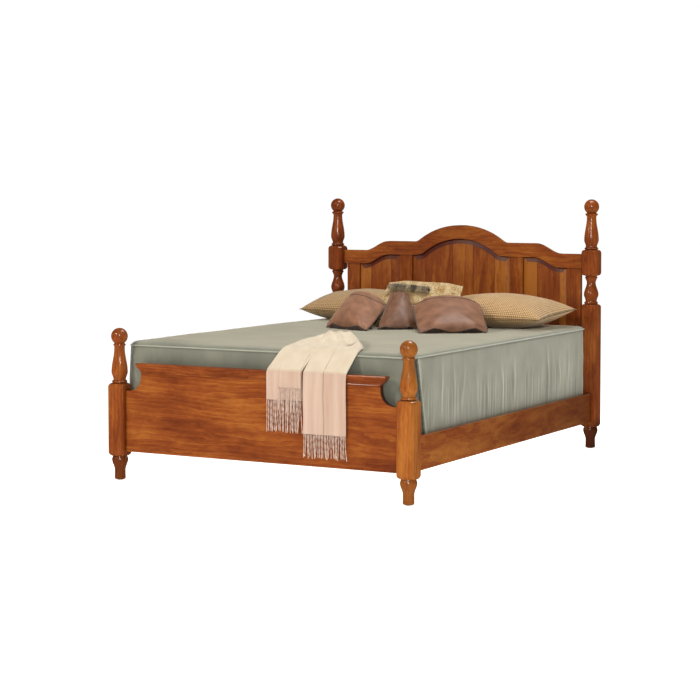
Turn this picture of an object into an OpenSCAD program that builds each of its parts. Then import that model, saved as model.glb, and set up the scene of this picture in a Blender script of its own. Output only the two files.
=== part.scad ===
// Queen-size cherry bed with turned cannonball posts, arched panel headboard and scrolled footboard,
// dressed with box spring, mattress, coverlet, pillows and a fringed throw.
// +X is the sleeper's left-hand side seen from the foot, +Y points to the headboard, the floor is Z = 0,
// and the origin is on the floor under the middle of the bed.

/* [Mattress and box spring] */
// Width of the mattress
mattress_w = 1524; // [1370:2:1680]
// Length of the mattress
mattress_l = 2032; // [1900:2:2140]
// Height of the mattress at the middle of its crown
mattress_h = 244; // [200:2:300]
// Rise of the mattress crown above its top seam
crown_h = 15; // [8:1:24]
// Radius of the mattress corners seen from above
corner_r = 34; // [20:1:60]
// Height of the box spring
box_h = 225; // [170:1:260]
// Gap between the mattress and each side rail
side_gap = 8; // [7:0.5:20]
// Gap between the mattress and the head posts
head_gap = 4.5; // [4:0.5:15]
// Gap between the mattress and the foot posts
foot_gap = 12; // [11:0.5:30]

/* [Posts] */
// Side of the square post
post_w = 86; // [80:0.5:100]
// Width cut off each long edge of the square post
post_chamfer = 8; // [3:0.5:12]
// Height of the turned foot below the square
foot_turn_h = 117; // [95:1:150]
// Height of each rounded shoulder where the square meets a turning
shoulder_h = 22; // [12:1:28]
// Height of the head post's lower square above the floor
head_square_top = 764; // [700:1:820]
// Length of the head post's lower turning
lower_turn_h = 182; // [165:1:230]
// Length of the head post's square block behind the crest rail
block_h = 109; // [106:1:150]
// Distance from the head post's block to the centre of its ball
upper_turn_h = 241; // [200:1:300]
// Height of the foot post's square above the floor
foot_square_top = 455; // [440:1:500]
// Distance from the foot post's square to the centre of its ball
foot_post_turn_h = 235; // [200:1:280]
// Radius of the ball on each post
ball_r = 40; // [34:0.5:42]
// Radius of the widest part of each vase turning
belly_r = 39; // [34:0.5:39.5]
// Radius of the narrowest part of each vase turning
neck_r = 25; // [20:0.5:29]
// Radius of the bead at the bottom of each vase turning
bead_r = 37; // [33:0.5:39]
// Radius of the ring under the head post's ball
head_ring_r = 34; // [30:0.5:38]
// Radius of the ring under the foot post's ball
foot_ring_r = 30; // [28:0.5:36]
// Radius of the bottom of the turned foot
foot_tip_r = 26; // [22:0.5:30]

/* [Headboard] */
// Thickness of the crest rail
crest_t = 40; // [34:1:48]
// Distance that the crest rail's face stands in front of the post's centre
crest_face = 8; // [4:1:16]
// Depth of the crest rail from its top edge to its underside
crest_w = 75; // [64:1:90]
// Height of the crest rail's top edge at the posts, below the top of the post's block
crest_drop = 13; // [8:1:24]
// Rise of the crest rail's flat shoulder above its ends
shoulder_rise = 54; // [40:1:70]
// Rise of the middle of the crest rail's dome above its shoulder
dome_rise = 94; // [70:1:120]
// Radius of the crest rail's dome
dome_r = 415; // [380:5:460]
// Width of the mitred gap between each headboard stile and the post
stile_gap = 19; // [10:1:26]
// Width of the outer stiles
stile_w = 80; // [60:1:100]
// Width of the mullions
mullion_w = 78; // [60:1:96]
// Width of the middle panel
centre_panel_w = 600; // [540:2:660]
// Thickness of the stiles and mullions
stile_t = 25; // [24:1:30]
// Distance that the stiles stand behind the crest rail's face
stile_set_back = 10; // [6:1:12]
// Width of the sloping border of each raised panel
bevel_w = 27; // [18:1:34]
// Depth of the sloping border of each raised panel
bevel_d = 8; // [5:0.5:9]
// Thickness of the tongue round each panel
tongue_t = 8; // [6:0.5:10]
// Depth of the groove that the tongue sits in
groove_d = 10; // [6:0.5:14]
// Height of the headboard's bottom rail above the floor
head_rail_z = 480; // [430:1:520]
// Height of the headboard's bottom rail
head_rail_h = 120; // [90:1:150]

/* [Footboard] */
// Thickness of the footboard panel
foot_panel_t = 28; // [26:0.5:34]
// Height of the footboard panel's bottom edge above the floor
foot_panel_z = 140; // [128:1:160]
// Height of the footboard above the floor, at the top of its cap
footboard_top = 566; // [552:1:590]
// Height of the cap
cap_h = 47; // [40:1:56]
// Thickness of the cap at its top
cap_t = 44; // [40:0.5:48]
// Radius of the scoop cut in each end of the footboard
scoop_r = 68; // [58:1:74]
// Distance from each post to the centre of the scoop
scoop_in = 23; // [16:1:30]
// Height of the scoop's centre below the top of the footboard
scoop_drop = 65; // [62:1:72]

/* [Rails, slats and legs] */
// Thickness of each side rail
rail_t = 25; // [24:0.5:32]
// Height of each side rail
rail_h = 153; // [146:1:180]
// Height of the side rail's bottom edge above the floor
rail_z = 145; // [141:1:165]
// Distance from the post's centre out to the middle of the rail
rail_offset = 4.5; // [0:0.5:12]
// Radius along the rail's top outer edge
rail_edge_r = 7; // [3:0.5:10]
// Width of the ledger strip under the slats
ledger_w = 22; // [20:0.5:30]
// Height of the ledger strip
ledger_h = 25; // [20:0.5:32]
// Height of the ledger strip's bottom above the rail's bottom edge
ledger_up = 2; // [0:0.5:8]
// Width of each slat
slat_w = 89; // [70:1:110]
// Thickness of each slat
slat_t = 19; // [17:0.5:24]
// Gap between each slat's end and the rail
slat_gap = 3; // [1:0.5:6]
// Side of each square middle leg
leg_w = 44; // [38:1:60]
// Radius of the levelling pad under each middle leg
pad_r = 16; // [12:0.5:20]
// Thickness of the levelling pad
pad_h = 8; // [5:0.5:12]
// Height of the levelling screw showing between the pad and the leg
level_gap = 10; // [5:0.5:20]
// Radius of the levelling screw
level_r = 4; // [3:0.5:6]
// Radius of the glide under each foot
glide_r = 14; // [10:0.5:18]
// Thickness of the glide that stands below the wood
glide_h = 4; // [3:0.5:6]

/* [Rail hardware] */
// Width of the hook plates and slotted plates
plate_w = 16; // [14:0.5:20]
// Height of the hook plates and slotted plates
plate_h = 130; // [124:1:138]
// Thickness of the plates
plate_t = 2.5; // [2:0.25:4]
// Thickness of each hook
hook_t = 4; // [3:0.25:5]
// Height of each hook where it passes through the slot
hook_h = 22; // [18:1:24]
// Drop of each hook's nose behind the slotted plate
nose_drop = 9; // [7:0.5:10]
// Length of each hook's nose
nose_l = 5; // [4:0.5:7]
// Radius of the wood screws' shanks
screw_r = 2; // [1.5:0.1:2.4]
// Radius of the wood screws' heads
screw_head_r = 4; // [3.4:0.1:4.5]
// Length of the plate screws
plate_screw_l = 32; // [24:1:40]

/* [Coverlet] */
// Thickness of the coverlet
cover_t = 3; // [2:0.25:3.5]
// Height of the coverlet's hem above the slats
hem_up = 12; // [6:1:40]
// Depth of the folds in the coverlet's drop
fold_d = 3; // [1:0.25:3.5]
// Radius of the piping along the coverlet's edge
welt_r = 3; // [2:0.25:3.25]

/* [Pillows and throw] */
// Thickness of each large pillow sham
sham_t = 184; // [130:2:190]
// Thickness of each satin accent pillow
satin_t = 128; // [100:2:140]
// Thickness of the printed pillow
print_t = 78; // [60:2:80]
// Share of each side that a pillow draws in between its corners
draw_in = 0.07; // [0.03:0.01:0.12]
// Thickness of the folded throw
throw_t = 7; // [4:0.5:10]
// Width of each hanging end of the throw
throw_w = 220; // [180:2:230]
// Height of the left hanging end's hem above the floor
left_hem_z = 435; // [400:1:460]
// Height of the right hanging end's hem above the floor
right_hem_z = 288; // [270:1:340]
// Length of the throw's fringe
fringe_l = 112; // [60:1:120]
// Length of the longer fringe on the throw's left end
long_fringe_l = 150; // [80:1:160]
// Number of tassels along the wide hem
tassel_n = 24; // [12:1:28]

/* [Hidden] */
wood = "#A0521E";
wood_dark = "#8A4018";
hidden_wood = "#C8A878";
steel = "#9A9A98";
sage = "#9BA18E";
slat_n = 5;
leg_n = 3;
far = 4000;
fit = 0.2;
soft_gap = 0.3;
eps = 0.01;

// Places of the posts and rails
post_x = mattress_w / 2 + side_gap + rail_t / 2 - rail_offset;
post_y = (mattress_l + post_w + head_gap + foot_gap) / 2;
post_in_x = post_x - post_w / 2;
post_in_y = post_y - post_w / 2;
mattress_y = (foot_gap - head_gap) / 2;
rail_x = post_x + rail_offset;
rail_in = rail_x - rail_t / 2;
rail_l = 2 * post_in_y;
slat_z = rail_z + ledger_up + ledger_h;
box_z = slat_z + slat_t;
mattress_z = box_z + box_h;
seam_z = mattress_z + mattress_h - crown_h;
top_z = mattress_z + mattress_h + soft_gap + cover_t;
hem_z = box_z + hem_up;

// Heights on the posts
head_block_z = head_square_top + lower_turn_h;
head_block_top = head_block_z + block_h;
head_ball_z = head_block_top + upper_turn_h;
foot_ball_z = foot_square_top + foot_post_turn_h;
square_z = foot_turn_h + shoulder_h;

// Pairs of a side and a sign, so that left and right are made alike
left = -1;
right = 1;
head = 1;
foot = -1;

function sq(v) = v * v;
// Points of an S-curve of radius from one height to the next, without its first point
function ease(a, b, n) = [for (i = [1:n]) let (t = (1 - cos(180 * i / n)) / 2)
    [a[0] + (b[0] - a[0]) * t, a[1] + (b[1] - a[1]) * i / n]];
// Points of a half-round bead of width w that stands out to radius r at height z
function bead(r, z, w) = [for (a = [-90:30:90]) [r - w / 2 + w / 2 * cos(a), z + w / 2 * sin(a)]];

// Vase turning from a square's shoulder at z0 up to a neck at z1
bead_up = 18;
bead_wide = 13;
cove_up = 29;
cove_r = 30;
belly_up = 63;
curve_n = 10;
function vase(z0, z1, rn) = concat(
    [[cove_r + 4, z0 + bead_up - bead_wide]],
    bead(bead_r, z0 + bead_up, bead_wide),
    [[cove_r, z0 + cove_up]],
    ease([cove_r, z0 + cove_up], [belly_r, z0 + belly_up], curve_n),
    ease([belly_r, z0 + belly_up], [rn, z1], curve_n + 4));

module lathe(points, z0, z1) {
    rotate_extrude($fn = 96) polygon(concat([[0, z0]], points, [[0, z1]]));
}

// Square with its corners cut, and its ends rounded over where a turning starts
module squared(z0, z1) {
    h = post_w / 2;
    c = h - post_chamfer;
    r0 = cove_r + 4;
    r1 = sqrt(sq(h) + sq(c)) + 1;
    low = [for (a = [0:15:90]) [r0 + (r1 - r0) * sin(a), z0 + shoulder_h * (1 - cos(a))]];
    high = [for (a = [90:-15:0]) [r0 + (r1 - r0) * sin(a), z1 - shoulder_h * (1 - cos(a))]];
    intersection() {
        translate([0, 0, z0]) linear_extrude(z1 - z0)
            polygon([[h, c], [c, h], [-c, h], [-h, c], [-h, -c], [-c, -h], [c, -h], [h, -c]]);
        lathe(concat(low, high), z0, z1);
    }
}

// Turned foot, a tapered barrel on a nylon glide
foot_waist_z = 47;
foot_belly_drop = 17;
module turned_foot() {
    lathe(concat(
        [[foot_tip_r - 4, glide_h], [foot_tip_r - 1, glide_h + 1.5], [foot_tip_r, glide_h + 5]],
        ease([foot_tip_r, glide_h + 5], [foot_tip_r - 0.5, foot_waist_z], 2),
        ease([foot_tip_r - 0.5, foot_waist_z], [belly_r, foot_turn_h - foot_belly_drop], curve_n + 2),
        ease([belly_r, foot_turn_h - foot_belly_drop], [cove_r + 4, foot_turn_h + 1], 6)),
        glide_h, foot_turn_h + 1);
}

// Ring, throat and ball at the top of a post
ring_drop = 41;
neck_drop = 54;
ring_wide = 9;
module ball_top(ball_z, ring_r) {
    lathe(concat(
        [[neck_r, ball_z - neck_drop]],
        ease([neck_r, ball_z - neck_drop], [ring_r - ring_wide / 2, ball_z - ring_drop - ring_wide / 2], 4),
        bead(ring_r, ball_z - ring_drop, ring_wide),
        [[neck_r, ball_z - ring_drop + ring_wide]]),
        ball_z - neck_drop, ball_z - ring_drop + ring_wide);
    translate([0, 0, ball_z]) sphere(ball_r, $fn = 96);
}

// Pocket in a post for the tenon of a headboard or footboard piece
tenon_t = 16;
tenon_l = 28;
module mortise(side, y, z0, z1) {
    translate([side < 0 ? post_w / 2 - tenon_l - fit : -post_w / 2 - 1, y - tenon_t / 2 - fit, z0 - fit])
        cube([tenon_l + fit + 1, tenon_t + 2 * fit, z1 - z0 + 2 * fit]);
}

// Pocket in a post for the slotted plate, its screws and the hooks behind it
plate_z = rail_z + (rail_h - plate_h) / 2;
hook_room = nose_l + 2 * soft_gap + 4;
nose_over_screw = 2;
function screw_heights() = [plate_h * 0.07, plate_h * 0.5, plate_h * 0.93];
slot_low = [for (i = [0, 1]) screw_heights()[i] + screw_r + nose_drop + nose_over_screw];
module plate_pocket(side, end) {
    d = -end;
    translate([side * rail_offset, d * post_w / 2, plate_z]) {
        translate([-plate_w / 2 - fit / 2, d > 0 ? -plate_t : -1, -fit / 2])
            cube([plate_w + fit, plate_t + 1, plate_h + fit]);
        for (z = slot_low)
            translate([-hook_t / 2 - 1, d > 0 ? -plate_t - hook_room : 0, z - nose_drop - 1])
                cube([hook_t + 2, plate_t + hook_room, hook_h + 2 * nose_drop + 3]);
        for (z = screw_heights())
            translate([0, 0, z]) rotate([-d * 90, 0, 0]) screw_hole(plate_screw_l);
    }
}

// Countersunk wood screw with its head at the origin and its point down -Z, and the hole that it sits in
module screw(l) {
    head_h = screw_head_r - screw_r;
    translate([0, 0, -head_h]) cylinder(h = head_h, r1 = screw_r, r2 = screw_head_r, $fn = 32);
    translate([0, 0, -l + 3]) cylinder(h = l - 3 - head_h, r = screw_r, $fn = 32);
    translate([0, 0, -l]) cylinder(h = 3, r1 = 0.4, r2 = screw_r, $fn = 32);
}
module screw_hole(l) {
    head_h = screw_head_r - screw_r;
    g = fit / 2;
    translate([0, 0, -head_h]) cylinder(h = head_h, r1 = screw_r + g, r2 = screw_head_r + g, $fn = 32);
    translate([0, 0, -eps]) cylinder(h = 2, r = screw_head_r + g, $fn = 32);
    translate([0, 0, -l - g]) cylinder(h = l + g - head_h + eps, r = screw_r + g, $fn = 32);
}

module glide_hole() {
    translate([0, 0, glide_h - 1]) cylinder(h = 16 + fit, r = 1.5 + fit / 2, $fn = 24);
}

module head_post(side) {
    y = crest_t / 2 - crest_face;
    color(wood) translate([side * post_x, post_y, 0]) difference() {
        union() {
            turned_foot();
            squared(foot_turn_h, head_square_top + shoulder_h / 2);
            lathe(concat(vase(head_square_top, head_block_z - neck_drop, neck_r - 1.5),
                ease([neck_r - 1.5, head_block_z - neck_drop],
                    [head_ring_r - ring_wide / 2, head_block_z - 34], 4),
                bead(head_ring_r, head_block_z - 29, ring_wide),
                [[cove_r, head_block_z - 22], [cove_r + 4, head_block_z - 16]]),
                head_square_top + bead_up - bead_wide, head_block_z - 16);
            squared(head_block_z - 18, head_block_top + shoulder_h / 2);
            lathe(vase(head_block_top, head_ball_z - neck_drop, neck_r),
                head_block_top + bead_up - bead_wide, head_ball_z - neck_drop);
            ball_top(head_ball_z, head_ring_r);
        }
        mortise(side, y, crest_end_top - crest_w + 8, crest_end_top - 8);
        mortise(side, y, head_rail_z + 12, head_rail_z + head_rail_h - 12);
        plate_pocket(side, head);
        glide_hole();
    }
}

module foot_post(side) {
    color(wood) translate([side * post_x, -post_y, 0]) difference() {
        union() {
            turned_foot();
            squared(foot_turn_h, foot_square_top + shoulder_h / 2);
            lathe(vase(foot_square_top, foot_ball_z - neck_drop, neck_r),
                foot_square_top + bead_up - bead_wide, foot_ball_z - neck_drop);
            ball_top(foot_ball_z, foot_ring_r);
        }
        mortise(side, 0, foot_tenon_z, foot_tenon_top);
        plate_pocket(side, foot);
        glide_hole();
    }
}

// Slab of thickness t, whose face looks towards the foot at y0 and whose outline is drawn in X and Z
module slab(y0, t) {
    translate([0, y0 + t, 0]) rotate([90, 0, 0]) linear_extrude(t) children();
}

// Headboard outline: height of the line that runs d below the crest rail's top edge
crest_end_top = head_block_top - crest_drop;
ogee_out = 0.768;
ogee_in = 0.575;
top_blend = 7;
under_blend = 24;
function ogee(x) = let (a = abs(x) / post_x, t = min(1, max(0, (ogee_out - a) / (ogee_out - ogee_in))))
    crest_end_top + shoulder_rise * (1 - cos(180 * t)) / 2;
function dome(x, d) = let (r = dome_r - d, z = crest_end_top + shoulder_rise + dome_rise - dome_r)
    abs(x) < r - 1 ? z + sqrt(sq(r) - sq(x)) : 0;
function crest_line(x, d) = let (a = ogee(x) - d, b = dome(x, d), m = max(a, b),
    blend = top_blend + (under_blend - top_blend) * min(1, d / crest_w))
    m + blend * ln(exp((a - m) / blend) + exp((b - m) / blend)) - blend * exp(-abs(a - b) / blend) * 0.5;
line_step = 15;
function line_points(x0, x1, d) = let (n = ceil((x1 - x0) / line_step))
    [for (i = [0:n]) let (x = x0 + (x1 - x0) * i / n) [x, crest_line(x, d)]];
function backwards(v) = [for (i = [len(v) - 1:-1:0]) v[i]];

// Places across the headboard
stile_out = post_in_x - stile_gap;
stile_in = stile_out - stile_w;
mullion_in = centre_panel_w / 2;
mullion_out = mullion_in + mullion_w;
crest_y = post_y - crest_face;
stile_y = crest_y + stile_set_back;
groove_y = stile_y + bevel_d + 0.5;
head_rail_top = head_rail_z + head_rail_h;
tenon_y = crest_y + crest_t / 2 - tenon_t / 2;

module headboard_crest_rail() {
    color(wood) difference() {
        union() {
            slab(crest_y, crest_t) polygon(concat(
                line_points(-post_in_x, post_in_x, 0),
                backwards(line_points(-post_in_x, post_in_x, crest_w))));
            for (side = [left, right]) slab(tenon_y, tenon_t)
                translate([side * (post_in_x - 5) - tenon_l - 5, crest_end_top - crest_w + 8])
                    square([2 * (tenon_l + 5), crest_w - 16]);
        }
        for (i = [-1:1]) panel_tongue(i, fit);
        for (side = [left, right]) {
            stile_tenon(side * (stile_out + stile_in) / 2, stile_w - 24, fit);
            stile_tenon(side * (mullion_out + mullion_in) / 2, mullion_w - 24, fit);
        }
    }
}

// Tenons at both ends of a stile or mullion
stile_tenon_l = 22;
module stile_tenon(x, w, g) {
    y = stile_y + stile_t / 2 - tongue_t / 2 + 3;
    top = crest_line(abs(x), crest_w);
    slab(y - g, tongue_t + 2 * g) translate([x - w / 2 - g, head_rail_top - stile_tenon_l - g])
        square([w + 2 * g, top + stile_tenon_l + 2 * g - head_rail_top + stile_tenon_l]);
}

module upright(x0, x1) {
    low = min(x0, x1);
    high = max(x0, x1);
    color(wood) difference() {
        union() {
            slab(stile_y, stile_t) polygon(concat(
                [[high, head_rail_top], [low, head_rail_top]], line_points(low, high, crest_w)));
            stile_tenon((low + high) / 2, high - low - 24, 0);
        }
        for (i = [-1:1]) panel_tongue(i, fit);
    }
}

// Raised panels: tongue in the grooves, sloping border and flat field
function panel_x(i) = i == 0 ? [-mullion_in, mullion_in]
    : i < 0 ? [-stile_in, -mullion_out] : [mullion_out, stile_in];
function panel_outline(i, inset, low) = let (x = panel_x(i))
    concat([[x[1] - inset, low], [x[0] + inset, low]],
        line_points(x[0] + inset, x[1] - inset, crest_w + inset));
module panel_tongue(i, g) {
    d = -groove_d - g;
    slab(groove_y - g, tongue_t + 2 * g) polygon(panel_outline(i, d + 1, head_rail_top + d + 1));
}
module headboard_panel(i) {
    clear = 0.5;
    tongue = panel_outline(i, 1 - groove_d, head_rail_top + 1 - groove_d);
    outer = panel_outline(i, clear, head_rail_top + clear);
    inner = panel_outline(i, bevel_w, head_rail_top + bevel_w);
    n = len(tongue);
    rings = [[tongue, groove_y + tongue_t], [tongue, groove_y], [outer, groove_y], [inner, stile_y]];
    color(wood) polyhedron(
        [for (r = rings, k = [0:n - 1]) let (p = inner_point(r[0], n, k)) [p[0], r[1], p[1]]],
        concat([for (k = [1:n - 2]) each [[0, k + 1, k], [3 * n, 3 * n + k, 3 * n + k + 1]]],
            [for (j = [0:2], k = [0:n - 1]) let (m = (k + 1) % n, a = j * n, b = a + n) each
                [[a + k, b + m, b + k], [a + k, a + m, b + m]]]));
}
function inner_point(v, n, k) = let (m = len(v)) m == n ? v[k] :
    k < 2 ? v[k] : let (t = (k - 2) * (m - 3) / (n - 3), i = min(m - 4, floor(t)), f = t - i)
        v[i + 2] * (1 - f) + v[i + 3] * f;

module headboard_bottom_rail() {
    color(wood) difference() {
        union() {
            slab(crest_y, crest_t) translate([-post_in_x, head_rail_z]) square([2 * post_in_x, head_rail_h]);
            slab(tenon_y, tenon_t)
                translate([-post_in_x - tenon_l, head_rail_z + 12])
                    square([2 * (post_in_x + tenon_l), head_rail_h - 24]);
        }
        for (i = [-1:1]) panel_tongue(i, fit);
        for (side = [left, right]) {
            stile_tenon(side * (stile_out + stile_in) / 2, stile_w - 24, fit);
            stile_tenon(side * (mullion_out + mullion_in) / 2, mullion_w - 24, fit);
        }
    }
}

// Footboard: a wide board with scooped ends, tenoned to the posts, under a moulded cap
cap_z = footboard_top - cap_h;
scoop_x = post_in_x - scoop_in;
scoop_z = footboard_top - scoop_drop;
foot_tenon_z = foot_panel_z + 25;
foot_tenon_top = scoop_z - scoop_r - 18;
cap_tongue_t = 10;
cap_tongue_h = 8;
cap_in = scoop_x - scoop_r - 3;
module footboard_panel() {
    color(wood) difference() {
        union() {
            slab(-post_y - foot_panel_t / 2, foot_panel_t)
                translate([-post_in_x, foot_panel_z]) square([2 * post_in_x, cap_z - foot_panel_z]);
            slab(-post_y - cap_tongue_t / 2, cap_tongue_t)
                translate([-cap_in + 20, cap_z - 1]) square([2 * cap_in - 40, cap_tongue_h + 1 - fit]);
            slab(-post_y - tenon_t / 2, tenon_t)
                translate([-post_in_x - tenon_l, foot_tenon_z])
                    square([2 * (post_in_x + tenon_l), foot_tenon_top - foot_tenon_z]);
        }
        for (side = [left, right])
            translate([side * scoop_x, -post_y, scoop_z]) {
                rotate([90, 0, 0]) cylinder(h = 2 * foot_panel_t, r = scoop_r, center = true, $fn = 96);
                translate([side < 0 ? -far - scoop_r + scoop_r : -scoop_r, -foot_panel_t, 0])
                    cube([far + (side < 0 ? scoop_r : 0), 2 * foot_panel_t, cap_h + scoop_drop]);
            }
    }
}

// Cap: its ends hook outwards over the scoops, and a bead runs along its lower edge
module footboard_cap() {
    w = cap_in;
    h = cap_h;
    end = [[w, 0], [w + 1, 4], [w + 8, 12], [w + 18, 21], [w + 27, 32], [w + 31, 41], [w + 29, h - 1],
        [w + 27, h]];
    half = cap_t / 2;
    bead_out = foot_panel_t / 2 + 4.5;
    side = [[bead_out - 2, 0], [bead_out - 0.5, 0.8], [bead_out, 2.5], [bead_out, 5],
        [bead_out - 0.8, 6.8], [bead_out - 3, 8], [bead_out - 2.6, h * 0.35],
        [bead_out - 1, h * 0.52], [half - 1.6, h * 0.72], [half - 0.2, h * 0.84], [half, h - 4],
        [half - 0.9, h - 1.4], [half - 3, h]];
    color(wood) difference() {
        intersection() {
            slab(-post_y - cap_t / 2, cap_t) translate([0, cap_z])
                polygon(concat(end, backwards([for (p = end) [-p[0], p[1]]])));
            translate([-far / 2, -post_y, cap_z]) rotate([90, 0, 90]) linear_extrude(far)
                polygon(concat(side, backwards([for (p = side) [-p[0], p[1]]])));
        }
        slab(-post_y - cap_tongue_t / 2 - fit, cap_tongue_t + 2 * fit)
            translate([-cap_in + 20 - fit, cap_z - 1]) square([2 * (cap_in - 20 + fit), cap_tongue_h + 1]);
    }
}

// Side rail between the posts, with the hook plate let into each end
module side_rail(side) {
    r = rail_edge_r;
    color(wood) difference() {
        translate([side * rail_x, post_in_y, rail_z]) rotate([90, 0, 0]) linear_extrude(rail_l)
            mirror([side < 0 ? 1 : 0, 0]) union() {
                translate([-rail_t / 2, 0]) square([rail_t, rail_h - r]);
                translate([-rail_t / 2, rail_h - r - eps]) square([rail_t - r, r + eps]);
                translate([rail_t / 2 - r, rail_h - r]) circle(r, $fn = 48);
            }
        for (end = [head, foot])
            translate([side * rail_x, end * post_in_y, plate_z]) {
                translate([-plate_w / 2 - fit / 2, end > 0 ? -plate_t : -1, -fit / 2])
                    cube([plate_w + fit, plate_t + 1, plate_h + fit]);
                for (z = screw_heights())
                    translate([0, 0, z]) rotate([-end * 90, 0, 0]) screw_hole(plate_screw_l);
            }
        for (y = ledger_screw_places())
            translate([side * (rail_in - ledger_w), y, slat_z - ledger_h / 2])
                rotate([0, -side * 90, 0]) screw_hole(ledger_screw_l);
    }
}

// Ledger strip screwed along the inside of the rail, which carries the slats
ledger_l = rail_l - 60;
ledger_screw_n = 6;
ledger_screw_l = ledger_w + 16;
function ledger_screw_places() = [for (i = [0:ledger_screw_n - 1])
    (ledger_l - 160) * (i / (ledger_screw_n - 1) - 0.5)];
function slat_y(i) = (ledger_l - slat_w - 40) * ((i - 1) / (slat_n - 1) - 0.5);
slat_screw_in = ledger_w / 2;
slat_screw_l = slat_t + 14;
module ledger(side) {
    color(hidden_wood) difference() {
        translate([side > 0 ? rail_in - ledger_w : -rail_in, -ledger_l / 2, slat_z - ledger_h])
            cube([ledger_w, ledger_l, ledger_h]);
        for (y = ledger_screw_places())
            translate([side * (rail_in - ledger_w), y, slat_z - ledger_h / 2])
                rotate([0, -side * 90, 0]) screw_hole(ledger_screw_l);
        for (i = [1:slat_n])
            translate([side * (rail_in - slat_screw_in), slat_y(i), box_z]) screw_hole(slat_screw_l);
    }
}

module slat(i) {
    w = rail_in - slat_gap;
    color(hidden_wood) difference() {
        translate([-w, slat_y(i) - slat_w / 2, slat_z]) cube([2 * w, slat_w, slat_t]);
        for (side = [left, right])
            translate([side * (rail_in - slat_screw_in), slat_y(i), box_z]) screw_hole(slat_screw_l);
        if (i > slat_n - leg_n)
            for (k = [-1, 1]) translate([k * leg_w / 4, slat_y(i), box_z]) screw_hole(leg_screw_l);
    }
}

// Middle legs under the slats from the middle to the head, each on a levelling screw
leg_z = pad_h + level_gap;
leg_screw_l = slat_t + 30;
level_in = 40;
module centre_leg(i) {
    color(hidden_wood) difference() {
        translate([-leg_w / 2, slat_y(i) - leg_w / 2, leg_z]) cube([leg_w, leg_w, slat_z - leg_z]);
        for (k = [-1, 1]) translate([k * leg_w / 4, slat_y(i), box_z]) screw_hole(leg_screw_l);
        translate([0, slat_y(i), leg_z - 1])
            cylinder(h = level_in + 1 + fit, r = level_r + fit / 2, $fn = 32);
    }
}
module leveler(i) {
    color(steel) translate([0, slat_y(i), 0]) {
        rotate_extrude($fn = 48)
            polygon([[0, 0], [pad_r - 1, 0], [pad_r, 1], [pad_r, pad_h - 2], [pad_r - 2, pad_h],
                [0, pad_h]]);
        translate([0, 0, pad_h - eps]) cylinder(h = level_gap + level_in + eps, r = level_r, $fn = 32);
    }
}

// Hook plate in a rail's end: two hooks reach through the slotted plate and drop behind it
module hook_plate(side, end) {
    color(steel) translate([side * rail_x, end * post_in_y, plate_z]) mirror([0, end < 0 ? 1 : 0, 0]) {
        difference() {
            translate([-plate_w / 2, -plate_t, 0]) cube([plate_w, plate_t, plate_h]);
            for (z = screw_heights()) translate([0, 0, z]) rotate([-90, 0, 0]) screw_hole(plate_screw_l);
        }
        for (z = slot_low)
            translate([-hook_t / 2, 0, z]) {
                translate([0, -eps, 0]) cube([hook_t, plate_t + soft_gap + nose_l + eps, hook_h]);
                translate([0, plate_t + soft_gap, -nose_drop]) cube([hook_t, nose_l, nose_drop + hook_h]);
            }
    }
}
module slot_plate(side, end) {
    color(steel) translate([side * rail_x, end * post_in_y, plate_z]) mirror([0, end < 0 ? 1 : 0, 0])
        difference() {
            translate([-plate_w / 2, 0, 0]) cube([plate_w, plate_t, plate_h]);
            for (z = screw_heights()) translate([0, 0, z]) rotate([90, 0, 0]) screw_hole(plate_screw_l);
            for (z = slot_low)
                translate([-hook_t / 2 - soft_gap, -1, z - soft_gap])
                    cube([hook_t + 2 * soft_gap, plate_t + 2, hook_h + nose_drop + 2]);
        }
}
module plate_screws(turn) {
    color(steel) for (side = [left, right], end = [head, foot], z = screw_heights())
        translate([side * rail_x, end * post_in_y, plate_z + z])
            rotate([turn * end * 90, 0, 0]) screw(plate_screw_l);
}
module ledger_screws() {
    color(steel) for (side = [left, right], y = ledger_screw_places())
        translate([side * (rail_in - ledger_w), y, slat_z - ledger_h / 2])
            rotate([0, -side * 90, 0]) screw(ledger_screw_l);
}
module slat_screws() {
    color(steel) for (i = [1:slat_n]) {
        for (side = [left, right])
            translate([side * (rail_in - slat_screw_in), slat_y(i), box_z]) screw(slat_screw_l);
        if (i > slat_n - leg_n)
            for (k = [-1, 1]) translate([k * leg_w / 4, slat_y(i), box_z]) screw(leg_screw_l);
    }
}
module foot_glides() {
    color("#3A3632") for (side = [left, right], end = [head, foot])
        translate([side * post_x, end * post_y, 0]) {
            rotate_extrude($fn = 48)
                polygon([[0, 0], [glide_r - 1, 0], [glide_r, 1], [glide_r, glide_h], [0, glide_h]]);
            translate([0, 0, glide_h - eps]) cylinder(h = 15, r = 1.5, $fn = 24);
        }
}

// Soft pieces are lofts: rings of the same number of points, closed by a fan at each end
function loft_faces(m, n) = concat(
    [for (k = [0:n - 1]) [m * n, k, (k + 1) % n]],
    [for (j = [0:m - 2], k = [0:n - 1]) let (a = j * n + k, b = j * n + (k + 1) % n)
        each [[a, a + n, b + n], [a, b + n, b]]],
    [for (k = [0:n - 1]) [m * n + 1, (m - 1) * n + (k + 1) % n, (m - 1) * n + k]]);
module loft(rings, low, high) {
    m = len(rings);
    polyhedron(concat([for (r = rings) each r], [low, high]), loft_faces(m, len(rings[0])));
}

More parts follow.
